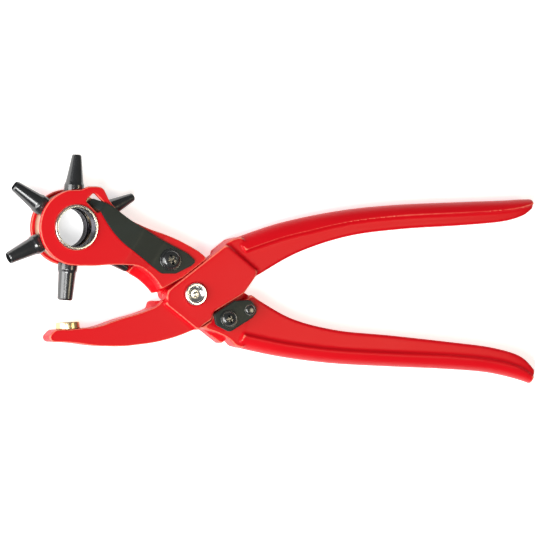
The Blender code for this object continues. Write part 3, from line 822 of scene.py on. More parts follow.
def shoulder_corners() -> list[Corner]:
    """Return the upper side of a lap plate's pocket, with its open and its closed face."""
    reach = JOINT.plate_upper + JOINT.fit
    closed_side = JOINT.open_side - LAYOUT.closing
    heel = Vector(polar((0, 0), reach / math.cos(math.radians(LAYOUT.closing / 2)),
                        (JOINT.open_side + closed_side) / 2))
    far_left = heel + Vector(polar((0, 0), JOINT.side_length, closed_side + 90))
    far_right = heel + Vector(polar((0, 0), JOINT.side_length, JOINT.open_side - 90))
    return [(*far_left, 0.0), (*heel, 0.0), (*far_right, 0.0)]


def near_channel() -> list[Corner]:
    """Return the pocket in the head lever that the near lap plate swings in."""
    closed_side = JOINT.foot_side - LAYOUT.closing
    foot = Vector(polar((0, 0), JOINT.plate_lower + JOINT.fit, closed_side))
    along = Vector(polar((0, 0), 1, closed_side + 90))
    return shoulder_corners() + [
        (34.0, 9.3, 0), (*(foot + along * 18.9), 1.0), (*(foot + along * 4.9), 0),
        (7.5, -10.2, 0), (2.8, -13.4, 0), (1.0, -30.0, 0), (-34.0, -30.0, 0),
    ]


def far_channel() -> list[Corner]:
    """Return the pocket in the anvil lever that the far lap plate swings in."""
    return mirrored(shoulder_corners() + [
        (36.0, 0.0, 0), (23.6, -5.8, 1.0), (8.2, -7.9, 0), (9.4, -14.5, 0), (12.0, -26.0, 0),
        (-34.0, -30.0, 0),
    ])


def step_ramp(name: str, first: Point, second: Point, width: float,
              side: int) -> bpy.types.Object:
    """Make the sloped step from a lap plate's edge down to a limb.

    Args:
        name: The object's name.
        first: One end of the plate's edge.
        second: The other end.
        width: Width of the slope; its sign says on which side it lies.
        side: +1 on the near side, -1 on the far side.

    Returns:
        The ramp as a convex block.
    """
    start = Vector(first)
    stop = Vector(second)
    along = (stop - start).normalized()
    out = Vector((along.y, -along.x)) * width
    points = []
    for spot in (start, stop):
        outer = spot + out
        inner = spot - out * 0.4
        points += [(*inner, side * JOINT.plate), (*spot, side * JOINT.plate),
                   (*outer, side * JOINT.limb_top), (*outer, side * (JOINT.limb - 1.0)),
                   (*inner, side * 1.0)]
    return hull(name, points)


@dataclass(frozen=True)
class Handle:
    """A forged handle: outer bead, flat web and broken inner edge along a smooth route.

    A station is the outer point, the inner point, and the half heights of bead and web.
    """

    name: str
    stations: tuple[Station, ...]
    bead_width: float = 4.8
    slope_width: float = 1.5
    inner_edge: float = 1.1
    crest: float = 90.0

    def smooth(self, steps: int = 10) -> list[list[float]]:
        """Return the stations with smooth ones added between them."""
        ends = (self.stations[0], *self.stations, self.stations[-1])
        result = []
        for index in range(1, len(ends) - 2):
            group = ends[index - 1:index + 3]
            for step in range(steps):
                share = step / steps
                result.append([self.blend(*values, share) for values in zip(*group)])
        result.append(list(self.stations[-1]))
        return result

    @staticmethod
    def blend(before: float, start: float, stop: float, after: float, share: float) -> float:
        """Return the Catmull-Rom value between start and stop."""
        return 0.5 * (
            2 * start + (stop - before) * share
            + (2 * before - 5 * start + 4 * stop - after) * share ** 2
            + (3 * start - before - 3 * stop + after) * share ** 3
        )

    def ring(self, station: Sequence[float]) -> list[tuple[float, float, float]]:
        """Return the section of the handle at one station."""
        outer = Vector(station[0:2])
        across = Vector(station[2:4]) - outer
        bead, web = station[4:6]
        width = across.length
        across.normalize()
        band = min(self.bead_width, 0.45 * width)
        half = []
        top = math.radians(self.crest)
        for step in range(13):
            angle = top * step / 12
            half.append((band * (1 - math.cos(angle)) / (1 - math.cos(top)),
                         bead * math.sin(angle) / math.sin(top)))
        slope = min(self.slope_width, 0.15 * width)
        for step in (0.25, 0.5, 0.75, 1.0):
            ease = step * step * (3 - 2 * step)
            half.append((band + slope * step, bead + (web - bead) * ease))
        half.append((width - 2 * self.inner_edge, web))
        for step in range(6):
            angle = math.radians(90 * step / 5)
            half.append((width - self.inner_edge * (1 - math.sin(angle)),
                         web - self.inner_edge * (1 - math.cos(angle))))
        outline = half + [(reach, -height) for reach, height in reversed(half[1:])]
        return [(*(outer + across * reach), height) for reach, height in outline]

    def build(self) -> bpy.types.Object:
        """Return the handle's loft."""
        return loft(self.name, [self.ring(station) for station in self.smooth()])


UPPER_HANDLE = Handle("upper_handle", (
    (18.0, 21.8, 27.2, 7.6, 5.8, 4.5), (37.3, 27.9, 43.5, 16.2, 5.8, 4.5),
    (61.4, 32.6, 64.0, 22.5, 5.8, 4.5), (84.6, 34.9, 86.0, 25.3, 5.7, 4.4),
    (110.0, 36.0, 111.0, 26.8, 5.5, 4.3), (128.0, 36.6, 128.5, 28.3, 5.3, 4.2),
    (137.5, 37.1, 137.2, 30.6, 5.0, 4.0), (141.9, 37.2, 141.4, 33.4, 4.2, 3.4),
), bead_width=5.4, slope_width=1.2, crest=68.0)
LOWER_HANDLE = Handle("lower_handle", (
    (18.3, -20.6, 26.4, -1.8, 5.8, 4.5), (36.0, -24.2, 41.0, -9.5, 5.8, 4.5),
    (57.1, -26.9, 59.5, -14.0, 5.8, 4.5), (80.0, -28.2, 82.0, -16.1, 5.7, 4.4),
    (104.0, -29.2, 106.0, -18.6, 5.5, 4.3), (122.0, -30.5, 124.0, -20.8, 5.3, 4.2),
    (133.5, -32.7, 136.2, -24.2, 5.0, 4.0), (141.2, -35.0, 142.4, -29.6, 4.2, 3.4),
))


def throat_skirt(name: str, rows: Sequence[tuple[Point, Point, Point]],
                 near: float, far: float) -> list[Tool]:
    """Return the blocks of a throat wall that leans from its near rim out to its far rim.

    Args:
        name: Name of the blocks.
        rows: Near rim, far rim and inner points, in order along the wall.
        near: Height of the near rim.
        far: Height of the far face.

    Returns:
        One convex block for each pair of rows.
    """
    blocks = []
    for first, second in zip(rows, rows[1:]):
        points = []
        for near_spot, far_spot, inner in (first, second):
            points += [(*near_spot, near), (*far_spot, far + 1.6), (*far_spot, far),
                       (*inner, far), (*inner, near)]
        blocks.append(hull(name, points))
    return adding(*blocks)


def pocket_tools(side: int) -> list[Tool]:
    """Return the cutters of the pivot bore, the coil pocket and the coil's end hole."""
    bore = disc("pivot_bore", (0, 0), JOINT.pivot_bore, -THROUGH, THROUGH)
    low, high = sorted((-side * 3.0, side * JOINT.coil_depth))
    pocket = disc("coil_pocket", (0, 0), JOINT.coil_pocket, low, high)
    low, high = sorted((0.0, side * JOINT.coil_hole_depth))
    sweep = LAYOUT.closing if side > 0 else 0.0
    holes = []
    for share in (0.0, 0.5, 1.0):
        spot = polar((0, 0), JOINT.coil_radius, side * 90.0 + sweep * share)
        holes.append(disc("coil_hole", spot, JOINT.coil_hole, low, high, 24))
    return removing(bore, pocket, *holes)


@dataclass(frozen=True)
class HeadLever:
    """Forked head, upper jaw, far lap plate and lower handle in one coated forging."""

    head_radius: float = 14.8
    slot_radius: float = 30.0
    bush_radius: float = 8.7
    ramp_start: float = 5.5
    ramp_end: float = 16.0
    spring_axis: Point = (-0.853, 0.522)
    half_seam: float = -0.3
    hole_floor: float = -2.2

    def along(self, reach: float, side: float = 0.0) -> Point:
        """Return the point at a distance along the index spring's axis and to its side."""
        x, y = self.spring_axis
        start = LAYOUT.index_screw
        return (start[0] + x * reach + y * side, start[1] + y * reach - x * side)

    def outline(self, ear: bool) -> list[Corner]:
        """Return the outline of the head, neck and upper jaw.

        Args:
            ear: Whether the crown has the ear that frames the index window.

        Returns:
            The outline's corners.
        """
        crown = [(-46.9, 40.7, 1.5), (-44.2, 42.0, 3.0), (-38.2, 41.9, 3.5), (-35.6, 36.6, 4.0)]
        plain = [(-45.0, 40.0, 6.0), (-38.5, 37.0, 6.0)]
        top = [(-31.2, 31.2, SMOOTH), (-21.4, 26.2, SMOOTH), (-8.5, 22.4, SMOOTH),
               (2.7, 16.6, SMOOTH), (6.6, 12.8, 2.0)]
        joint = [(8.0, 6.0, 3.0), (-4.0, -1.0, 3.0)]
        throat = [(-12.6, 0.9, 1.0), (-16.2, 6.6, SMOOTH), (-22.4, 11.2, SMOOTH),
                  (-34.0, 11.6, SMOOTH), (-42.0, 10.9, SMOOTH)]
        rim = arc(LAYOUT.hub, self.head_radius, 264, 100 if ear else 84, 40)
        return (crown if ear else plain) + top + joint + throat + rim

    def neck_tools(self, side: int) -> list[Tool]:
        """Return the cutters that slim the neck from the cheek down to the jaw."""
        slope = []
        flat = []
        for offset in (-40, 40):
            for reach, height in ((self.ramp_end, JOINT.cheek), (self.ramp_start, JOINT.limb)):
                slope.append((*self.along(reach, offset), side * height))
                slope.append((*self.along(reach, offset), side * CLEAR))
            for reach in (self.ramp_start + 0.01, -60):
                flat.append((*self.along(reach, offset), side * JOINT.limb))
                flat.append((*self.along(reach, offset), side * CLEAR))
        return removing(hull("neck_slope", slope), hull("neck_flat", flat))

    def additions(self) -> list[Tool]:
        """Return the shapes that complete the lever round its joint."""
        skirt = throat_skirt("throat_lip", (
            ((-12.3, 1.0), (-14.6, 0.3), (-9.0, 3.5)),
            ((-13.2, 2.6), (-15.3, 1.3), (-10.0, 6.0)),
            ((-15.8, 6.6), (-17.6, 3.7), (-12.0, 10.0)),
            ((-18.4, 9.2), (-20.4, 6.0), (-15.0, 13.0)),
            ((-22.4, 11.2), (-25.0, 8.6), (-21.0, 15.0)),
            ((-27.4, 11.6), (-29.4, 10.2), (-26.0, 15.0)),
        ), self.half_seam, -JOINT.limb_top)
        root: list[Corner] = [
            (3.0, -12.9, 1.0), (6.2, -13.9, SMOOTH), (11.2, -15.6, SMOOTH),
            (14.6, -17.3, SMOOTH), (17.4, -20.2, 1.0), (20.5, -21.0, 0), (29.0, -3.6, 0),
            (22.8, 0.6, 1.0), (15.0, 2.0, 0), (4.0, -6.0, 0),
        ]
        return skirt + adding(
            slab("lower_root", root, -JOINT.limb_top, JOINT.limb_top),
            slab("far_plate", mirrored(PLATE), -JOINT.plate, -JOINT.lap),
            LOWER_HANDLE.build(),
            step_ramp("far_jaw_step", (2.0, 13.4), (-11.6, 3.0), 2.4, -1),
            step_ramp("far_handle_step", (25.4, -8.0), (13.5, -18.0), 2.2, -1),
        )

    def openings(self) -> list[Tool]:
        """Return the cutters of the wheel slot, the hub, the window and the screw holes."""
        window: list[Corner] = [(-45.5, 36.3, 0.8), (-41.9, 39.5, 0.8), (-36.8, 34.6, 0.8),
                                (-40.2, 31.3, 0.8)]
        inner = JOINT.cheek_inner
        return removing(
            disc("wheel_slot", LAYOUT.hub, self.slot_radius, -inner, inner, 160),
            disc("hub_bore", LAYOUT.hub, self.bush_radius, -THROUGH, THROUGH, 96),
            slab("index_window", window, inner - 1, THROUGH),
            disc("index_hole", LAYOUT.index_screw, 2.1, self.hole_floor, THROUGH, 32),
            disc("catch_hole", LAYOUT.catch_screw, 1.85, self.hole_floor, THROUGH, 32),
        )

    def build(self) -> bpy.types.Object:
        """Build and dress the lever."""
        item = slab("coated_head_lever", self.outline(ear=True), self.half_seam, JOINT.cheek)
        steps = adding(slab("far_half", self.outline(ear=False), -JOINT.cheek, 0.6))
        steps += self.neck_tools(1) + self.neck_tools(-1) + self.additions()
        steps += removing(slab("near_channel", near_channel(), -JOINT.lap, CLEAR))
        steps += adding(disc("catch_pad", LAYOUT.catch_screw, 3.3, 3.5, 6.1, 48))
        item = apply_tools(item, steps + self.openings() + pocket_tools(-1))
        return coat_lever(item, Body.HEAD, "head_lever")


@dataclass(frozen=True)
class AnvilLever:
    """Lower jaw, near lap plate and upper handle in one coated forging, with its anvil."""

    direction: float = 265.0
    reach: float = 28.4
    gap: float = 0.15
    anvil_radius: float = 4.7
    anvil_height: float = 2.7
    stem: float = 2.4
    stem_length: float = 3.8

    def anvil_axis(self) -> Matrix:
        """Return the matrix that stands the Z axis on the anvil, from its top face."""
        tip = polar(LAYOUT.hub, self.reach + self.gap, self.direction)
        top = turned_point(tip, LAYOUT.closing)
        return lying(top, self.direction - 180 + LAYOUT.closing)

    def anvil_tool(self, name: str, radius: float, low: float, high: float) -> bpy.types.Object:
        """Return a cylinder on the anvil's axis."""
        corners = [(0, high, 0), (radius, high, 0), (radius, low, 0), (0, low, 0)]
        return revolve(name, corners, self.anvil_axis(), sides=64)

    def additions(self) -> list[Tool]:
        """Return the shapes that complete the lever round its joint."""
        skirt = throat_skirt("jaw_lip", (
            ((-12.2, -2.6), (-15.5, -2.4), (-9.0, -4.0)),
            ((-14.6, -4.6), (-16.6, -3.2), (-10.0, -7.0)),
            ((-16.4, -5.6), (-17.0, -5.2), (-12.0, -9.0)),
            ((-21.6, -7.5), (-20.6, -7.5), (-20.0, -10.0)),
        ), 3.6, -JOINT.limb_top)
        root: list[Corner] = [(6.0, 14.0, 0), (15.8, 21.4, 1.0), (20.0, 22.3, 0), (29.5, 9.4, 0),
                              (25.6, 6.8, 1.0), (20.4, 0.4, 0), (8.0, 4.0, 0)]
        return skirt + adding(
            slab("near_plate", PLATE, JOINT.lap, JOINT.plate),
            slab("upper_root", root, -JOINT.limb_top, JOINT.limb_top),
            UPPER_HANDLE.build(),
            step_ramp("near_jaw_step", (-11.6, -3.0), (2.0, -13.4), -2.4, 1),
            step_ramp("near_handle_step", (13.5, 18.0), (25.4, 8.0), -2.2, 1),
        )

    def build(self) -> bpy.types.Object:
        """Build and dress the lever."""
        jaw: list[Corner] = [
            (-13.0, -2.6, 2.0), (-15.0, -4.6, SMOOTH), (-21.6, -7.2, SMOOTH),
            (-31.5, -9.8, SMOOTH), (-37.5, -12.0, SMOOTH), (-41.8, -12.95, 3.0),
            (-57.2, -13.75, 2.2), (-60.0, -16.6, 2.0), (-58.6, -18.5, 1.6),
            (-49.0, -18.9, SMOOTH), (-42.0, -20.0, SMOOTH), (-30.0, -20.5, SMOOTH),
            (-16.0, -18.9, SMOOTH), (-6.8, -16.6, SMOOTH), (2.6, -12.9, 1.0), (6.0, -6.0, 0),
            (-4.0, 3.0, 0),
        ]
        item = slab("coated_anvil_lever", jaw, -JOINT.limb, JOINT.limb)
        steps = self.additions()
        steps += removing(slab("far_channel", far_channel(), -CLEAR, JOINT.lap))
        base = -self.anvil_height
        stem = self.anvil_tool("stem_hole", self.stem + 0.1, base - self.stem_length - 0.2, 3.0)
        seat = self.anvil_tool("anvil_seat", self.anvil_radius + 0.4, base - 0.1, 3.0)
        steps += pocket_tools(1) + removing(stem, seat)
        return coat_lever(apply_tools(item, steps), Body.ANVIL, "anvil_lever")

    def build_anvil(self) -> bpy.types.Object:
        """Build and dress the brass anvil."""
        radius = self.anvil_radius
        base = -self.anvil_height
        corners = [
            (0, 0, 0), (radius, 0, 0.35), (radius, base, 0.15), (self.stem, base, 0.1),
            (self.stem, base - self.stem_length, 0.4), (0, base - self.stem_length, 0),
        ]
        item = revolve("turned_anvil", corners, self.anvil_axis(), sides=128)
        return finish_piece(item, BRASS, Body.ANVIL, "anvil")


# Hub -------------------------------------------------------------------------------------------

@dataclass(frozen=True)
class PunchWheel:
    """Indexing wheel between the cheeks, with its seats and notches."""

    radius: float = 13.6
    half: float = 4.0
    bore: float = 8.66
    thread: float = 3.2
    notch_radius: float = 12.0
    notch_angle: float = 55.0
    notch_depth: float = 1.2
    notch_width: float = 1.9
    first: float = 265.0

    def build(self) -> bpy.types.Object:
        """Build and dress the wheel."""
        corners = [
            (self.radius, self.half, 0.6), (self.radius, -self.half, 0.6),
            (self.bore, -self.half, 0.3), (self.bore, self.half, 0.3),
        ]
        item = revolve("turned_punch_wheel", corners, upright(*LAYOUT.hub), True, 144)
        steps = []
        seat = [(0, THROUGH, 0), (self.thread, THROUGH, 0), (self.thread, 5, 0), (0, 5, 0)]
        for index in range(6):
            axis = lying(LAYOUT.hub, self.first - 60 * index)
            spot = polar(LAYOUT.hub, self.notch_radius, self.notch_angle - 60 * index)
            steps += removing(revolve("seat", seat, axis, sides=48),
                              disc("notch", spot, self.notch_width,
                                   self.half - self.notch_depth, 2 * self.half, 32))
        item = finish_piece(apply_tools(item, steps), WHEEL_TAN, Body.WHEEL, "punch_wheel")
        # The wheel's bore gets painted shade.
        return paint_bore_shade(item, self.bore + 0.1, LAYOUT.middle + THROUGH, 1)


@dataclass(frozen=True)
class TubePunch:
    """One hollow punch: threaded spigot, collar and tapered tube with a ground cutting edge."""

    size: float
    tip_width: float
    direction: float
    reach: float = 28.4
    seat: float = 13.9
    collar: float = 3.9
    collar_end: float = 16.6
    thread: float = 3.1
    root: float = 9.4

    def node(self) -> str:
        """Return the frame node that this punch stands for."""
        return f"punch_{int(self.size)}_{int(self.size * 10) % 10}mm"

    def build(self) -> bpy.types.Object:
        """Build and dress the punch."""
        tip = self.tip_width / 2
        bore = self.size / 2
        relief = min(bore + 0.15, self.thread - 0.45)
        base = max(3.45, tip + 0.4)
        outer = [
            (bore + 0.08, self.reach, 0), (tip, self.reach - 0.5, 0.3),
            (base, self.collar_end + 1.0, 2.0), (self.collar, self.collar_end, 0.5),
            (self.collar, self.seat, 0.4), (self.thread, self.seat, 0.1),
            (self.thread, self.root, 0.3),
        ]
        inner = [(relief, self.root, 0.1), (relief, self.reach - 3.0, 0.2),
                 (bore, self.reach - 2.6, 0.2)]
        item = revolve(f"tube_{self.node()}", outer + inner, lying(LAYOUT.hub, self.direction),
                       True, 72)
        return finish_piece(item, TUBE_BLACK, Body.WHEEL, self.node())


@dataclass(frozen=True)
class HubBush:
    """Flanged bush in one cheek; the wheel turns on its sleeve."""

    node: str
    side: int
    radius: float = 8.6
    bore: float = 7.6
    flange: float = 8.8
    face: float = 7.5
    end: float = 2.7
    groove: tuple[Point, ...] = ((0.0, 0.0), (0.25, 0.35), (0.6, 0.35), (0.85, 0.0))
    groove_start: float = 0.6
    groove_pitch: float = 1.3
    rim: float = 0.5

    def build(self) -> bpy.types.Object:
        """Build and dress the bush."""
        under = JOINT.cheek + 0.1
        corners = [
            (self.flange, self.face, 0.3), (self.flange, under, 0.1), (self.radius, under, 0.1),
            (self.radius, self.end, 0.2), (self.bore, self.end, 0.1),
        ]
        for index in range(3):
            start = self.end + self.groove_start + self.groove_pitch * index
            corners += [(self.bore + depth, start + step, 0.05) for step, depth in self.groove]
        corners += [(self.bore, self.face - self.rim, 0.1), (self.bore + 0.25, self.face, 0.1)]
        if self.side < 0:
            corners = [(radius, -height, fillet_size) for radius, height, fillet_size in corners]
        item = revolve(f"turned_{self.node}", corners, upright(*LAYOUT.hub), True, 144)
        finish_piece(item, BRIGHT, Body.HEAD, self.node)
        rim = LAYOUT.middle + self.side * (self.face - self.rim)
        # The bush's inside below its rim gets painted shade.
        return paint_bore_shade(item, self.bore + 0.5, rim, self.side)


# Springs ---------------------------------------------------------------------------------------

@dataclass(frozen=True)
class IndexSpring:
    """Leaf spring from the jaw over the cheek, with its nose bent down into a wheel notch."""

    lever: HeadLever
    thickness: float = 0.9
    bed_gap: float = 0.08
    strip: float = 0.6
    strips_from: float = -14.0
    strips_to: float = 42.0
    ease: float = 0.7
    sharp: float = 28.0

    def outline(self) -> list[Corner]:
        """Return the leaf's outline in plan."""
        return [
            (-43.9, 35.3, 0.5), (-41.6, 37.3, 0.6), (-38.8, 36.0, SMOOTH), (-35.1, 34.6, SMOOTH),
            (-26.6, 28.4, SMOOTH), (-14.6, 21.6, SMOOTH), (-3.2, 16.0, 2.0), (0.6, 12.8, 1.0),
            (-1.4, 11.0, 1.5), (-7.8, 8.0, 2.5), (-13.6, 8.0, 3.0), (-21.9, 14.1, SMOOTH),
            (-30.2, 19.8, SMOOTH), (-35.4, 25.4, SMOOTH), (-39.6, 32.3, 3.0),
        ]

    def lift(self, reach: float) -> float:
        """Return the height of the leaf above its bed at a distance along its axis."""
        bends = ((-20.0, 0.0), (self.lever.ramp_start, 0.0), (self.lever.ramp_end, 2.05),
                 (35.2, 2.05), (36.8, 1.4), (38.2, -0.2), (39.4, -1.3), (44.0, -1.3))
        for (first, low), (second, high) in zip(bends, bends[1:]):
            if reach <= second:
                return low + (high - low) * (reach - first) / (second - first)
        return bends[-1][1]

    def build(self) -> bpy.types.Object:
        """Build and dress the leaf."""
        low = JOINT.limb + self.bed_gap
        item = slab("black_index_spring", self.outline(), low, low + self.thickness, 0.14)
        shape = bmesh.new()
        shape.from_mesh(item.data)
        normal = Vector((*self.lever.spring_axis, 0))
        reach = self.strips_from
        while reach < self.strips_to:
            spot = Vector((*self.lever.along(reach), 0)) * MM
            parts = shape.verts[:] + shape.edges[:] + shape.faces[:]
            bmesh.ops.bisect_plane(shape, geom=parts, dist=1e-7, plane_co=spot, plane_no=normal)
            reach += self.strip
        origin = Vector((*LAYOUT.index_screw, 0)) * MM
        for vertex in shape.verts:
            along = (vertex.co - origin).dot(normal) / MM
            here = self.lift(along)
            smooth = (self.lift(along - self.ease) + 2 * here + self.lift(along + self.ease)) / 4
            vertex.co.z += max(smooth, here - 0.02) * MM
        shape.to_mesh(item.data)
        shape.free()
        hole = disc("leaf_hole", LAYOUT.index_screw, 2.3, 0, CLEAR, 48)
        item = apply_tools(item, removing(hole))
        return finish_piece(item, LEAF_BLACK, Body.HEAD, "index_spring", sharp=self.sharp)


class NodeTreeBuilder:
    """A Geometry Nodes tree being built, with named inputs."""

    def __init__(self, name: str, inputs: dict[str, tuple[str, object]]) -> None:
        """Make the tree.

        Args:
            name: The tree's name.
            inputs: Socket type and default of each input, by name.
        """
        self.tree = bpy.data.node_groups.new(name, "GeometryNodeTree")
        self.tree.interface.new_socket("Geometry", in_out="INPUT",
                                       socket_type="NodeSocketGeometry")
        for title, (kind, value) in inputs.items():
            socket = self.tree.interface.new_socket(title, in_out="INPUT", socket_type=kind)
            if value is not None:
                socket.default_value = value
        self.tree.interface.new_socket("Geometry", in_out="OUTPUT",
                                       socket_type="NodeSocketGeometry")
        self.source = self.tree.nodes.new("NodeGroupInput")
        self.result = self.tree.nodes.new("NodeGroupOutput")

    def node(self, kind: str, **links: object) -> bpy.types.Node:
        """Add a node; each named input gets a socket or a value."""
        node = self.tree.nodes.new(kind)
        for name, value in links.items():
            connect(self.tree, value, node.inputs[name.replace("_", " ")])
        return node

    def close(self, out: bpy.types.NodeSocket) -> bpy.types.NodeTree:
        """End the tree in Realize Instances and Set Material.

        Args:
            out: The geometry to hand out.

        Returns:
            The finished tree.
        """
        real = self.node("GeometryNodeRealizeInstances", Geometry=out)
        paint = self.node("GeometryNodeSetMaterial", Geometry=real.outputs[0],
                          Material=self.source.outputs["Material"])
        self.tree.links.new(paint.outputs[0], self.result.inputs["Geometry"])
        return self.tree


def grown(name: str, tree: bpy.types.NodeTree, values: dict[str, object]) -> bpy.types.Object:
    """Run a tree on an empty mesh and return the plain result.

    Args:
        name: The piece's name.
        tree: The Geometry Nodes tree.
        values: Values of its inputs, by name.

    Returns:
        The tree's mesh as a plain object.
    """
    item = link(name, bpy.data.meshes.new(name))
    modifier = item.modifiers.new("grow", "NODES")
    modifier.node_group = tree
    for socket in tree.interface.items_tree:
        if socket.in_out == "INPUT" and socket.name in values:
            modifier[socket.identifier] = values[socket.name]
    return baked(item)


def coil_tree() -> bpy.types.NodeTree:
    """Build the tree of a wire coil: a spiral route swept by a round wire."""
    build = NodeTreeBuilder("wire_coil", {
        "Coil Radius": ("NodeSocketFloat", 0.005), "Wire Radius": ("NodeSocketFloat", 0.0005),
        "Turns": ("NodeSocketFloat", 2.5), "Height": ("NodeSocketFloat", 0.0025),
        "Lift": ("NodeSocketVector", (0.0, 0.0, 0.0)), "Start Angle": ("NodeSocketFloat", 0.0),
        "Material": ("NodeSocketMaterial", None),
    })
    source = build.source.outputs
    route = build.node("GeometryNodeCurveSpiral", Resolution=48, Rotations=source["Turns"],
                       Start_Radius=source["Coil Radius"], End_Radius=source["Coil Radius"],
                       Height=source["Height"])
    wire = build.node("GeometryNodeCurvePrimitiveCircle", Resolution=16,
                      Radius=source["Wire Radius"])
    sweep = build.node("GeometryNodeCurveToMesh", Curve=route.outputs[0],
                       Profile_Curve=wire.outputs[0], Fill_Caps=True)
    spin = build.node("ShaderNodeCombineXYZ", Z=source["Start Angle"])
    place = build.node("GeometryNodeTransform", Geometry=sweep.outputs[0],
                       Translation=source["Lift"], Rotation=spin.outputs[0])
    return build.close(place.outputs[0])


def ring_tree() -> bpy.types.NodeTree:
    """Build the tree of a ring of upright rods, for the knob's knurl."""
    build = NodeTreeBuilder("ring_of_rods", {
        "Count": ("NodeSocketInt", 24), "Ring Radius": ("NodeSocketFloat", 0.002),
        "Rod Radius": ("NodeSocketFloat", 0.0002), "Rod Height": ("NodeSocketFloat", 0.001),
        "Centre": ("NodeSocketVector", (0.0, 0.0, 0.0)), "Material": ("NodeSocketMaterial", None),
    })
    source = build.source.outputs
    ring = build.node("GeometryNodeMeshCircle", Vertices=source["Count"],
                      Radius=source["Ring Radius"])
    rod = build.node("GeometryNodeMeshCylinder", Vertices=8, Radius=source["Rod Radius"],
                     Depth=source["Rod Height"])
    copies = build.node("GeometryNodeInstanceOnPoints", Points=ring.outputs[0],
                        Instance=rod.outputs[0])
    place = build.node("GeometryNodeTransform", Geometry=copies.outputs[0],
                       Translation=source["Centre"])
    return build.close(place.outputs[0])


@dataclass(frozen=True)
class OpeningSpring:
    """Torsion coil round the pivot, with one end in each lever."""

    coil: float = 5.3
    wire: float = 0.44
    turns: float = 2.5
    half_height: float = 1.25
    leg: float = 3.3

    def build(self) -> bpy.types.Object:
        """Build and dress the coil."""
        material = BRIGHT.material()
        item = grown("wire_opening_spring", coil_tree(), {
            "Coil Radius": self.coil * MM, "Wire Radius": self.wire * MM, "Turns": self.turns,
            "Height": 2 * self.half_height * MM,
            "Lift": (0.0, 0.0, (LAYOUT.middle - self.half_height) * MM),
            "Start Angle": -math.pi / 2, "Material": material,
        })
        legs = []
        for side in (-1, 1):
            spot = polar((0, 0), self.coil, 90 * side)
            low, high = sorted((side * self.half_height, side * self.leg))
            legs.append(disc("leg", spot, self.wire, low, high, 16))
        item = apply_tools(weld(item), adding(*legs))
        return finish_piece(item, BRIGHT, Body.HEAD, "opening_spring")


# Fasteners -------------------------------------------------------------------------------------

@dataclass(frozen=True)
class PanScrew:
    """Pan head screw with a cross recess."""

    node: str
    place: Point
    radius: float
    bearing: float
    height: float
    shank: float
    tip: float = -2.0

    def recess(self, turn: float) -> list[Tool]:
        """Return the cutters of the cross recess.

        Args:
            turn: Angle of the cross in degrees.

        Returns:
            Two tapered blades.
        """
        crown = self.bearing + self.height
        blades = []
        for angle in (turn, turn + 90):
            points = []
            for length, width, height in ((0.56, 0.13, 0.4), (0.3, 0.07, -1.25)):
                for x_sign, y_sign in ((-1, -1), (-1, 1), (1, -1), (1, 1)):
                    spot = Vector((x_sign * length * self.radius, y_sign * width * self.radius))
                    spot = Matrix.Rotation(math.radians(angle), 2) @ spot
                    points.append((self.place[0] + spot.x, self.place[1] + spot.y,
                                   crown + height))
            blades.append(hull("blade", points))
        return removing(*blades)

    def build(self) -> bpy.types.Object:
        """Build and dress the screw."""
        crown = self.bearing + self.height
        corners = [
            (0, crown, 0), (self.radius * 0.35, crown - 0.05, 1.5),
            (self.radius * 0.66, crown - 0.35, 1.5), (self.radius * 0.8, crown - 0.95, 0.4),
            (self.radius * 0.82, self.bearing + 0.5, 0.1),
            (self.radius, self.bearing + 0.4, 0.15),
            (self.radius, self.bearing, 0.1), (self.shank, self.bearing, 0.1),
            (self.shank, self.tip, 0.4), (0, self.tip, 0),
        ]
        item = revolve(f"black_{self.node}", corners, upright(*self.place), sides=96)
        item = apply_tools(item, self.recess(18.0))
        return finish_piece(item, SCREW_BLACK, Body.HEAD, self.node)


@dataclass(frozen=True)
class Pivot:
    """Pivot bolt with its dished head, and the closed nut under the far plate."""

    shank: float = 4.0
    head: float = 4.5
    top: float = 7.5

    def build_bolt(self) -> bpy.types.Object:
        """Build and dress the bolt."""
        corners = [
            (0, 6.75, 0), (0.7, 6.7, 0.3), (1.0, 6.3, 0.3), (2.4, 6.45, 1.5), (3.2, 7.4, 0.3),
            (3.5, self.top, 0.2), (self.head - 0.2, self.top, 0.4), (self.head, 6.9, 0.3),
            (self.head, 6.1, 0.1), (self.shank, 6.1, 0.05), (self.shank, -5.9, 0.2),
            (2.9, -5.9, 0.1), (2.9, -6.8, 0.3), (0, -6.8, 0),
        ]
        item = revolve("bright_pivot_bolt", corners, upright(0, 0), sides=128)
        return finish_piece(item, BRIGHT, Body.HEAD, "pivot_bolt")

    def build_nut(self) -> bpy.types.Object:
        """Build and dress the nut, with its two spanner holes."""
        corners = [
            (0, -6.95, 0), (3.0, -6.95, 0.1), (3.0, -6.1, 0.1), (5.0, -6.1, 0.2),
            (5.0, -self.top, 0.35), (0, -self.top, 0),
        ]
        item = revolve("bright_pivot_nut", corners, upright(0, 0), sides=128)
        holes = [disc("spanner_hole", (x, 0), 0.6, -8, -6.9, 24) for x in (-3.6, 3.6)]
        item = apply_tools(item, removing(*holes))
        return finish_piece(item, BRIGHT, Body.HEAD, "pivot_nut")


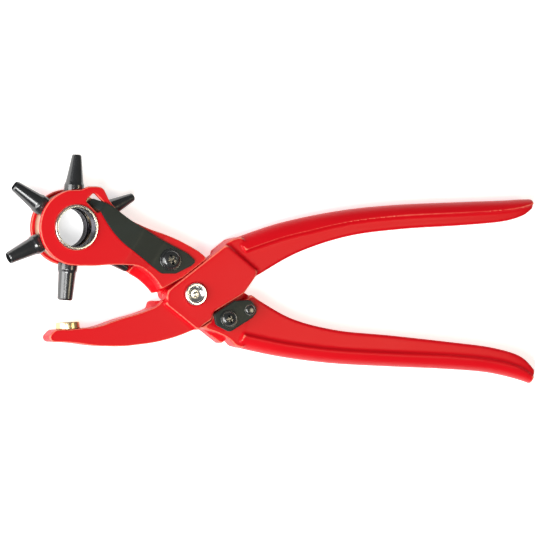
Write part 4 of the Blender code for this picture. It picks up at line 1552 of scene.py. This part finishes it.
@dataclass(frozen=True)
class Catch:
    """Swivelling catch: its plate, thumb knob and washer."""

    low: float = 6.2
    high: float = 7.8
    edge: float = 0.35
    knob: float = 2.05
    knurl_top: float = 8.4

    def build_plate(self) -> bpy.types.Object:
        """Build and dress the plate."""
        outline: list[Corner] = [
            (7.2, -7.8, 1.2), (15.6, -2.6, 2.0), (22.6, -2.2, 2.6), (25.4, -6.4, 2.6),
            (23.2, -9.2, 2.0), (13.8, -14.8, 2.2), (8.0, -12.0, 2.2),
        ]
        item = slab("black_catch_plate", outline, self.low, self.high, self.edge, 12)
        screw_hole = disc("screw_hole", LAYOUT.catch_screw, 2.35, 0, CLEAR, 48)
        knob_hole = disc("knob_hole", LAYOUT.catch_knob, 1.3, 0, CLEAR, 32)
        item = apply_tools(item, removing(screw_hole, knob_hole))
        return finish_piece(item, LEAF_BLACK, Body.CATCH, "catch_plate")

    def build_knob(self) -> bpy.types.Object:
        """Build and dress the knob, with a knurled flank."""
        base = self.high + 0.05
        corners = [
            (0, 9.3, 0), (1.6, 9.1, 1.0), (self.knob, 8.5, 0.3), (self.knob, base, 0.1),
            (1.2, base, 0.1), (1.2, self.low + 0.1, 0.1), (0, self.low + 0.1, 0),
        ]
        item = revolve("black_catch_knob", corners, upright(*LAYOUT.catch_knob), sides=64)
        height = (base + self.knurl_top) / 2 + LAYOUT.middle
        ridges = grown("knob_ridges", ring_tree(), {
            "Count": 26, "Ring Radius": self.knob * MM, "Rod Radius": 0.14 * MM,
            "Rod Height": (self.knurl_top - base) * MM,
            "Centre": (LAYOUT.catch_knob[0] * MM, LAYOUT.catch_knob[1] * MM, height * MM),
            "Material": SCREW_BLACK.material(),
        })
        item = apply_tools(item, adding(ridges))
        return finish_piece(item, SCREW_BLACK, Body.CATCH, "catch_knob")

    def build_washer(self) -> bpy.types.Object:
        """Build and dress the washer."""
        low = self.high + 0.1
        high = self.high + 0.35
        corners = [(3.3, high, 0.05), (3.3, low, 0.05), (2.35, low, 0.05), (2.35, high, 0.05)]
        item = revolve("bright_catch_washer", corners, upright(*LAYOUT.catch_screw), True, 72)
        return finish_piece(item, BRIGHT, Body.CATCH, "catch_washer")


# Stage -----------------------------------------------------------------------------------------

@dataclass(frozen=True)
class Stage:
    """Pale floor, soft studio light and the camera."""

    floor_size: float = 6.0
    lean: float = 20.0
    aim: Point = (32.1, 10.4)
    lens: float = 1600.0
    sensor: float = 36.0
    view_width: float = 208.7
    floor_glow: float = 0.6
    ambient: float = 0.14

    def floor(self) -> None:
        """Lay a plain floor under the tool, glowing a little so that it stays pale."""
        shape = bmesh.new()
        bmesh.ops.create_grid(shape, x_segments=1, y_segments=1, size=self.floor_size / MM / 2)
        item = from_bmesh("floor", shape)
        sheet = MaterialSheet("pale_floor", 0.9, 0.0)
        grain = sheet.group(GRAIN, Fine_Scale=300.0, Slow_Scale=2.0)
        sheet.feed(sheet.mix((0.93, 0.93, 0.93), (0.96, 0.96, 0.96), grain.outputs["Tone"]),
                   "Base Color")
        sheet.shader.inputs["Emission Color"].default_value = (1.0, 1.0, 1.0, 1.0)
        sheet.shader.inputs["Emission Strength"].default_value = self.floor_glow
        item.data.materials.append(sheet.material)

    def light(self, name: str, way: Sequence[float], distance: float, size: float,
              power: float, aim: Point | None = None,
              colour: Colour = (1.0, 1.0, 1.0)) -> None:
        """Add a square area light that looks at the tool.

        Args:
            name: The light's name.
            way: Direction from the tool to the light.
            distance: How far away it stands, in metres.
            size: Its side, in metres.
            power: Its power in watts.
            aim: Place in plan that it looks at, or None for the middle of the tool.
            colour: Colour of its light.
        """
        data = bpy.data.lights.new(name, "AREA")
        data.shape = "SQUARE"
        data.size = size
        data.energy = power
        data.color = colour
        lamp = bpy.data.objects.new(name, data)
        bpy.context.scene.collection.objects.link(lamp)
        spot = aim or self.aim
        target = Vector((spot[0] * MM, spot[1] * MM, 0))
        lamp.location = target + Vector(way).normalized() * distance
        lamp.rotation_euler = (target - lamp.location).to_track_quat("-Z", "Y").to_euler()
        lamp.visible_camera = False

    def lights(self) -> None:
        """Set the studio light: a key, a low light from the left and a sheen on the flat faces."""
        world = bpy.data.worlds.new("studio")
        world.use_nodes = True
        back = world.node_tree.nodes["Background"]
        back.inputs["Color"].default_value = (1.0, 1.0, 1.0, 1.0)
        back.inputs["Strength"].default_value = self.ambient
        bpy.context.scene.world = world
        self.light("key", (-0.52, -0.3, 0.8), 1.3, 0.55, 12.5, (70.0, 10.0))
        self.light("left", (-0.94, -0.1, 0.33), 1.0, 0.75, 9.0)
        self.light("sheen", (0.342, -0.06, 0.94), 0.45, 0.13, 0.4, (56.0, 4.0), (1.0, 0.86, 0.6))

    def camera(self) -> None:
        """Place the camera above the tool, leaning towards the jaws, with plain colour output."""
        data = bpy.data.cameras.new("camera")
        data.lens = self.lens
        data.sensor_width = self.sensor
        distance = self.view_width * MM / 2 / (self.sensor / 2 / self.lens)
        lean = math.radians(self.lean)
        back = Vector((-math.sin(lean), 0, math.cos(lean)))
        side = Vector((math.cos(lean), 0, math.sin(lean)))
        turn = Matrix((side, Vector((0, 1, 0)), back)).transposed()
        item = bpy.data.objects.new("camera", data)
        bpy.context.scene.collection.objects.link(item)
        target = Vector((self.aim[0] * MM, self.aim[1] * MM, LAYOUT.middle * MM))
        item.matrix_world = Matrix.Translation(target + back * distance) @ turn.to_4x4()
        bpy.context.scene.camera = item
        bpy.context.scene.view_settings.view_transform = "Standard"

    def build(self) -> None:
        """Set the whole stage."""
        self.floor()
        self.lights()
        self.camera()


PUNCHES = (
    TubePunch(5.0, 6.0, 265.0), TubePunch(4.0, 4.8, 205.0), TubePunch(3.5, 4.3, 145.0),
    TubePunch(3.0, 3.8, 85.0), TubePunch(2.5, 3.3, 25.0), TubePunch(2.0, 2.8, -35.0),
)


def main() -> None:
    """Build every piece and the stage."""
    logging.basicConfig(level=logging.INFO, format="%(name)s %(message)s")
    lever = HeadLever()
    anvil_lever = AnvilLever()
    pivot = Pivot()
    catch = Catch()
    lever.build()
    anvil_lever.build()
    anvil_lever.build_anvil()
    PunchWheel().build()
    for punch in PUNCHES:
        punch.build()
    HubBush("near_bush", 1).build()
    HubBush("far_bush", -1).build()
    IndexSpring(lever).build()
    PanScrew("index_screw", LAYOUT.index_screw, 4.4, 5.56, 1.9, 2.0).build()
    OpeningSpring().build()
    pivot.build_bolt()
    pivot.build_nut()
    catch.build_plate()
    catch.build_knob()
    catch.build_washer()
    PanScrew("catch_screw", LAYOUT.catch_screw, 3.5, 8.25, 1.4, 1.75).build()
    Stage().build()


if __name__ == "__main__":
    main()
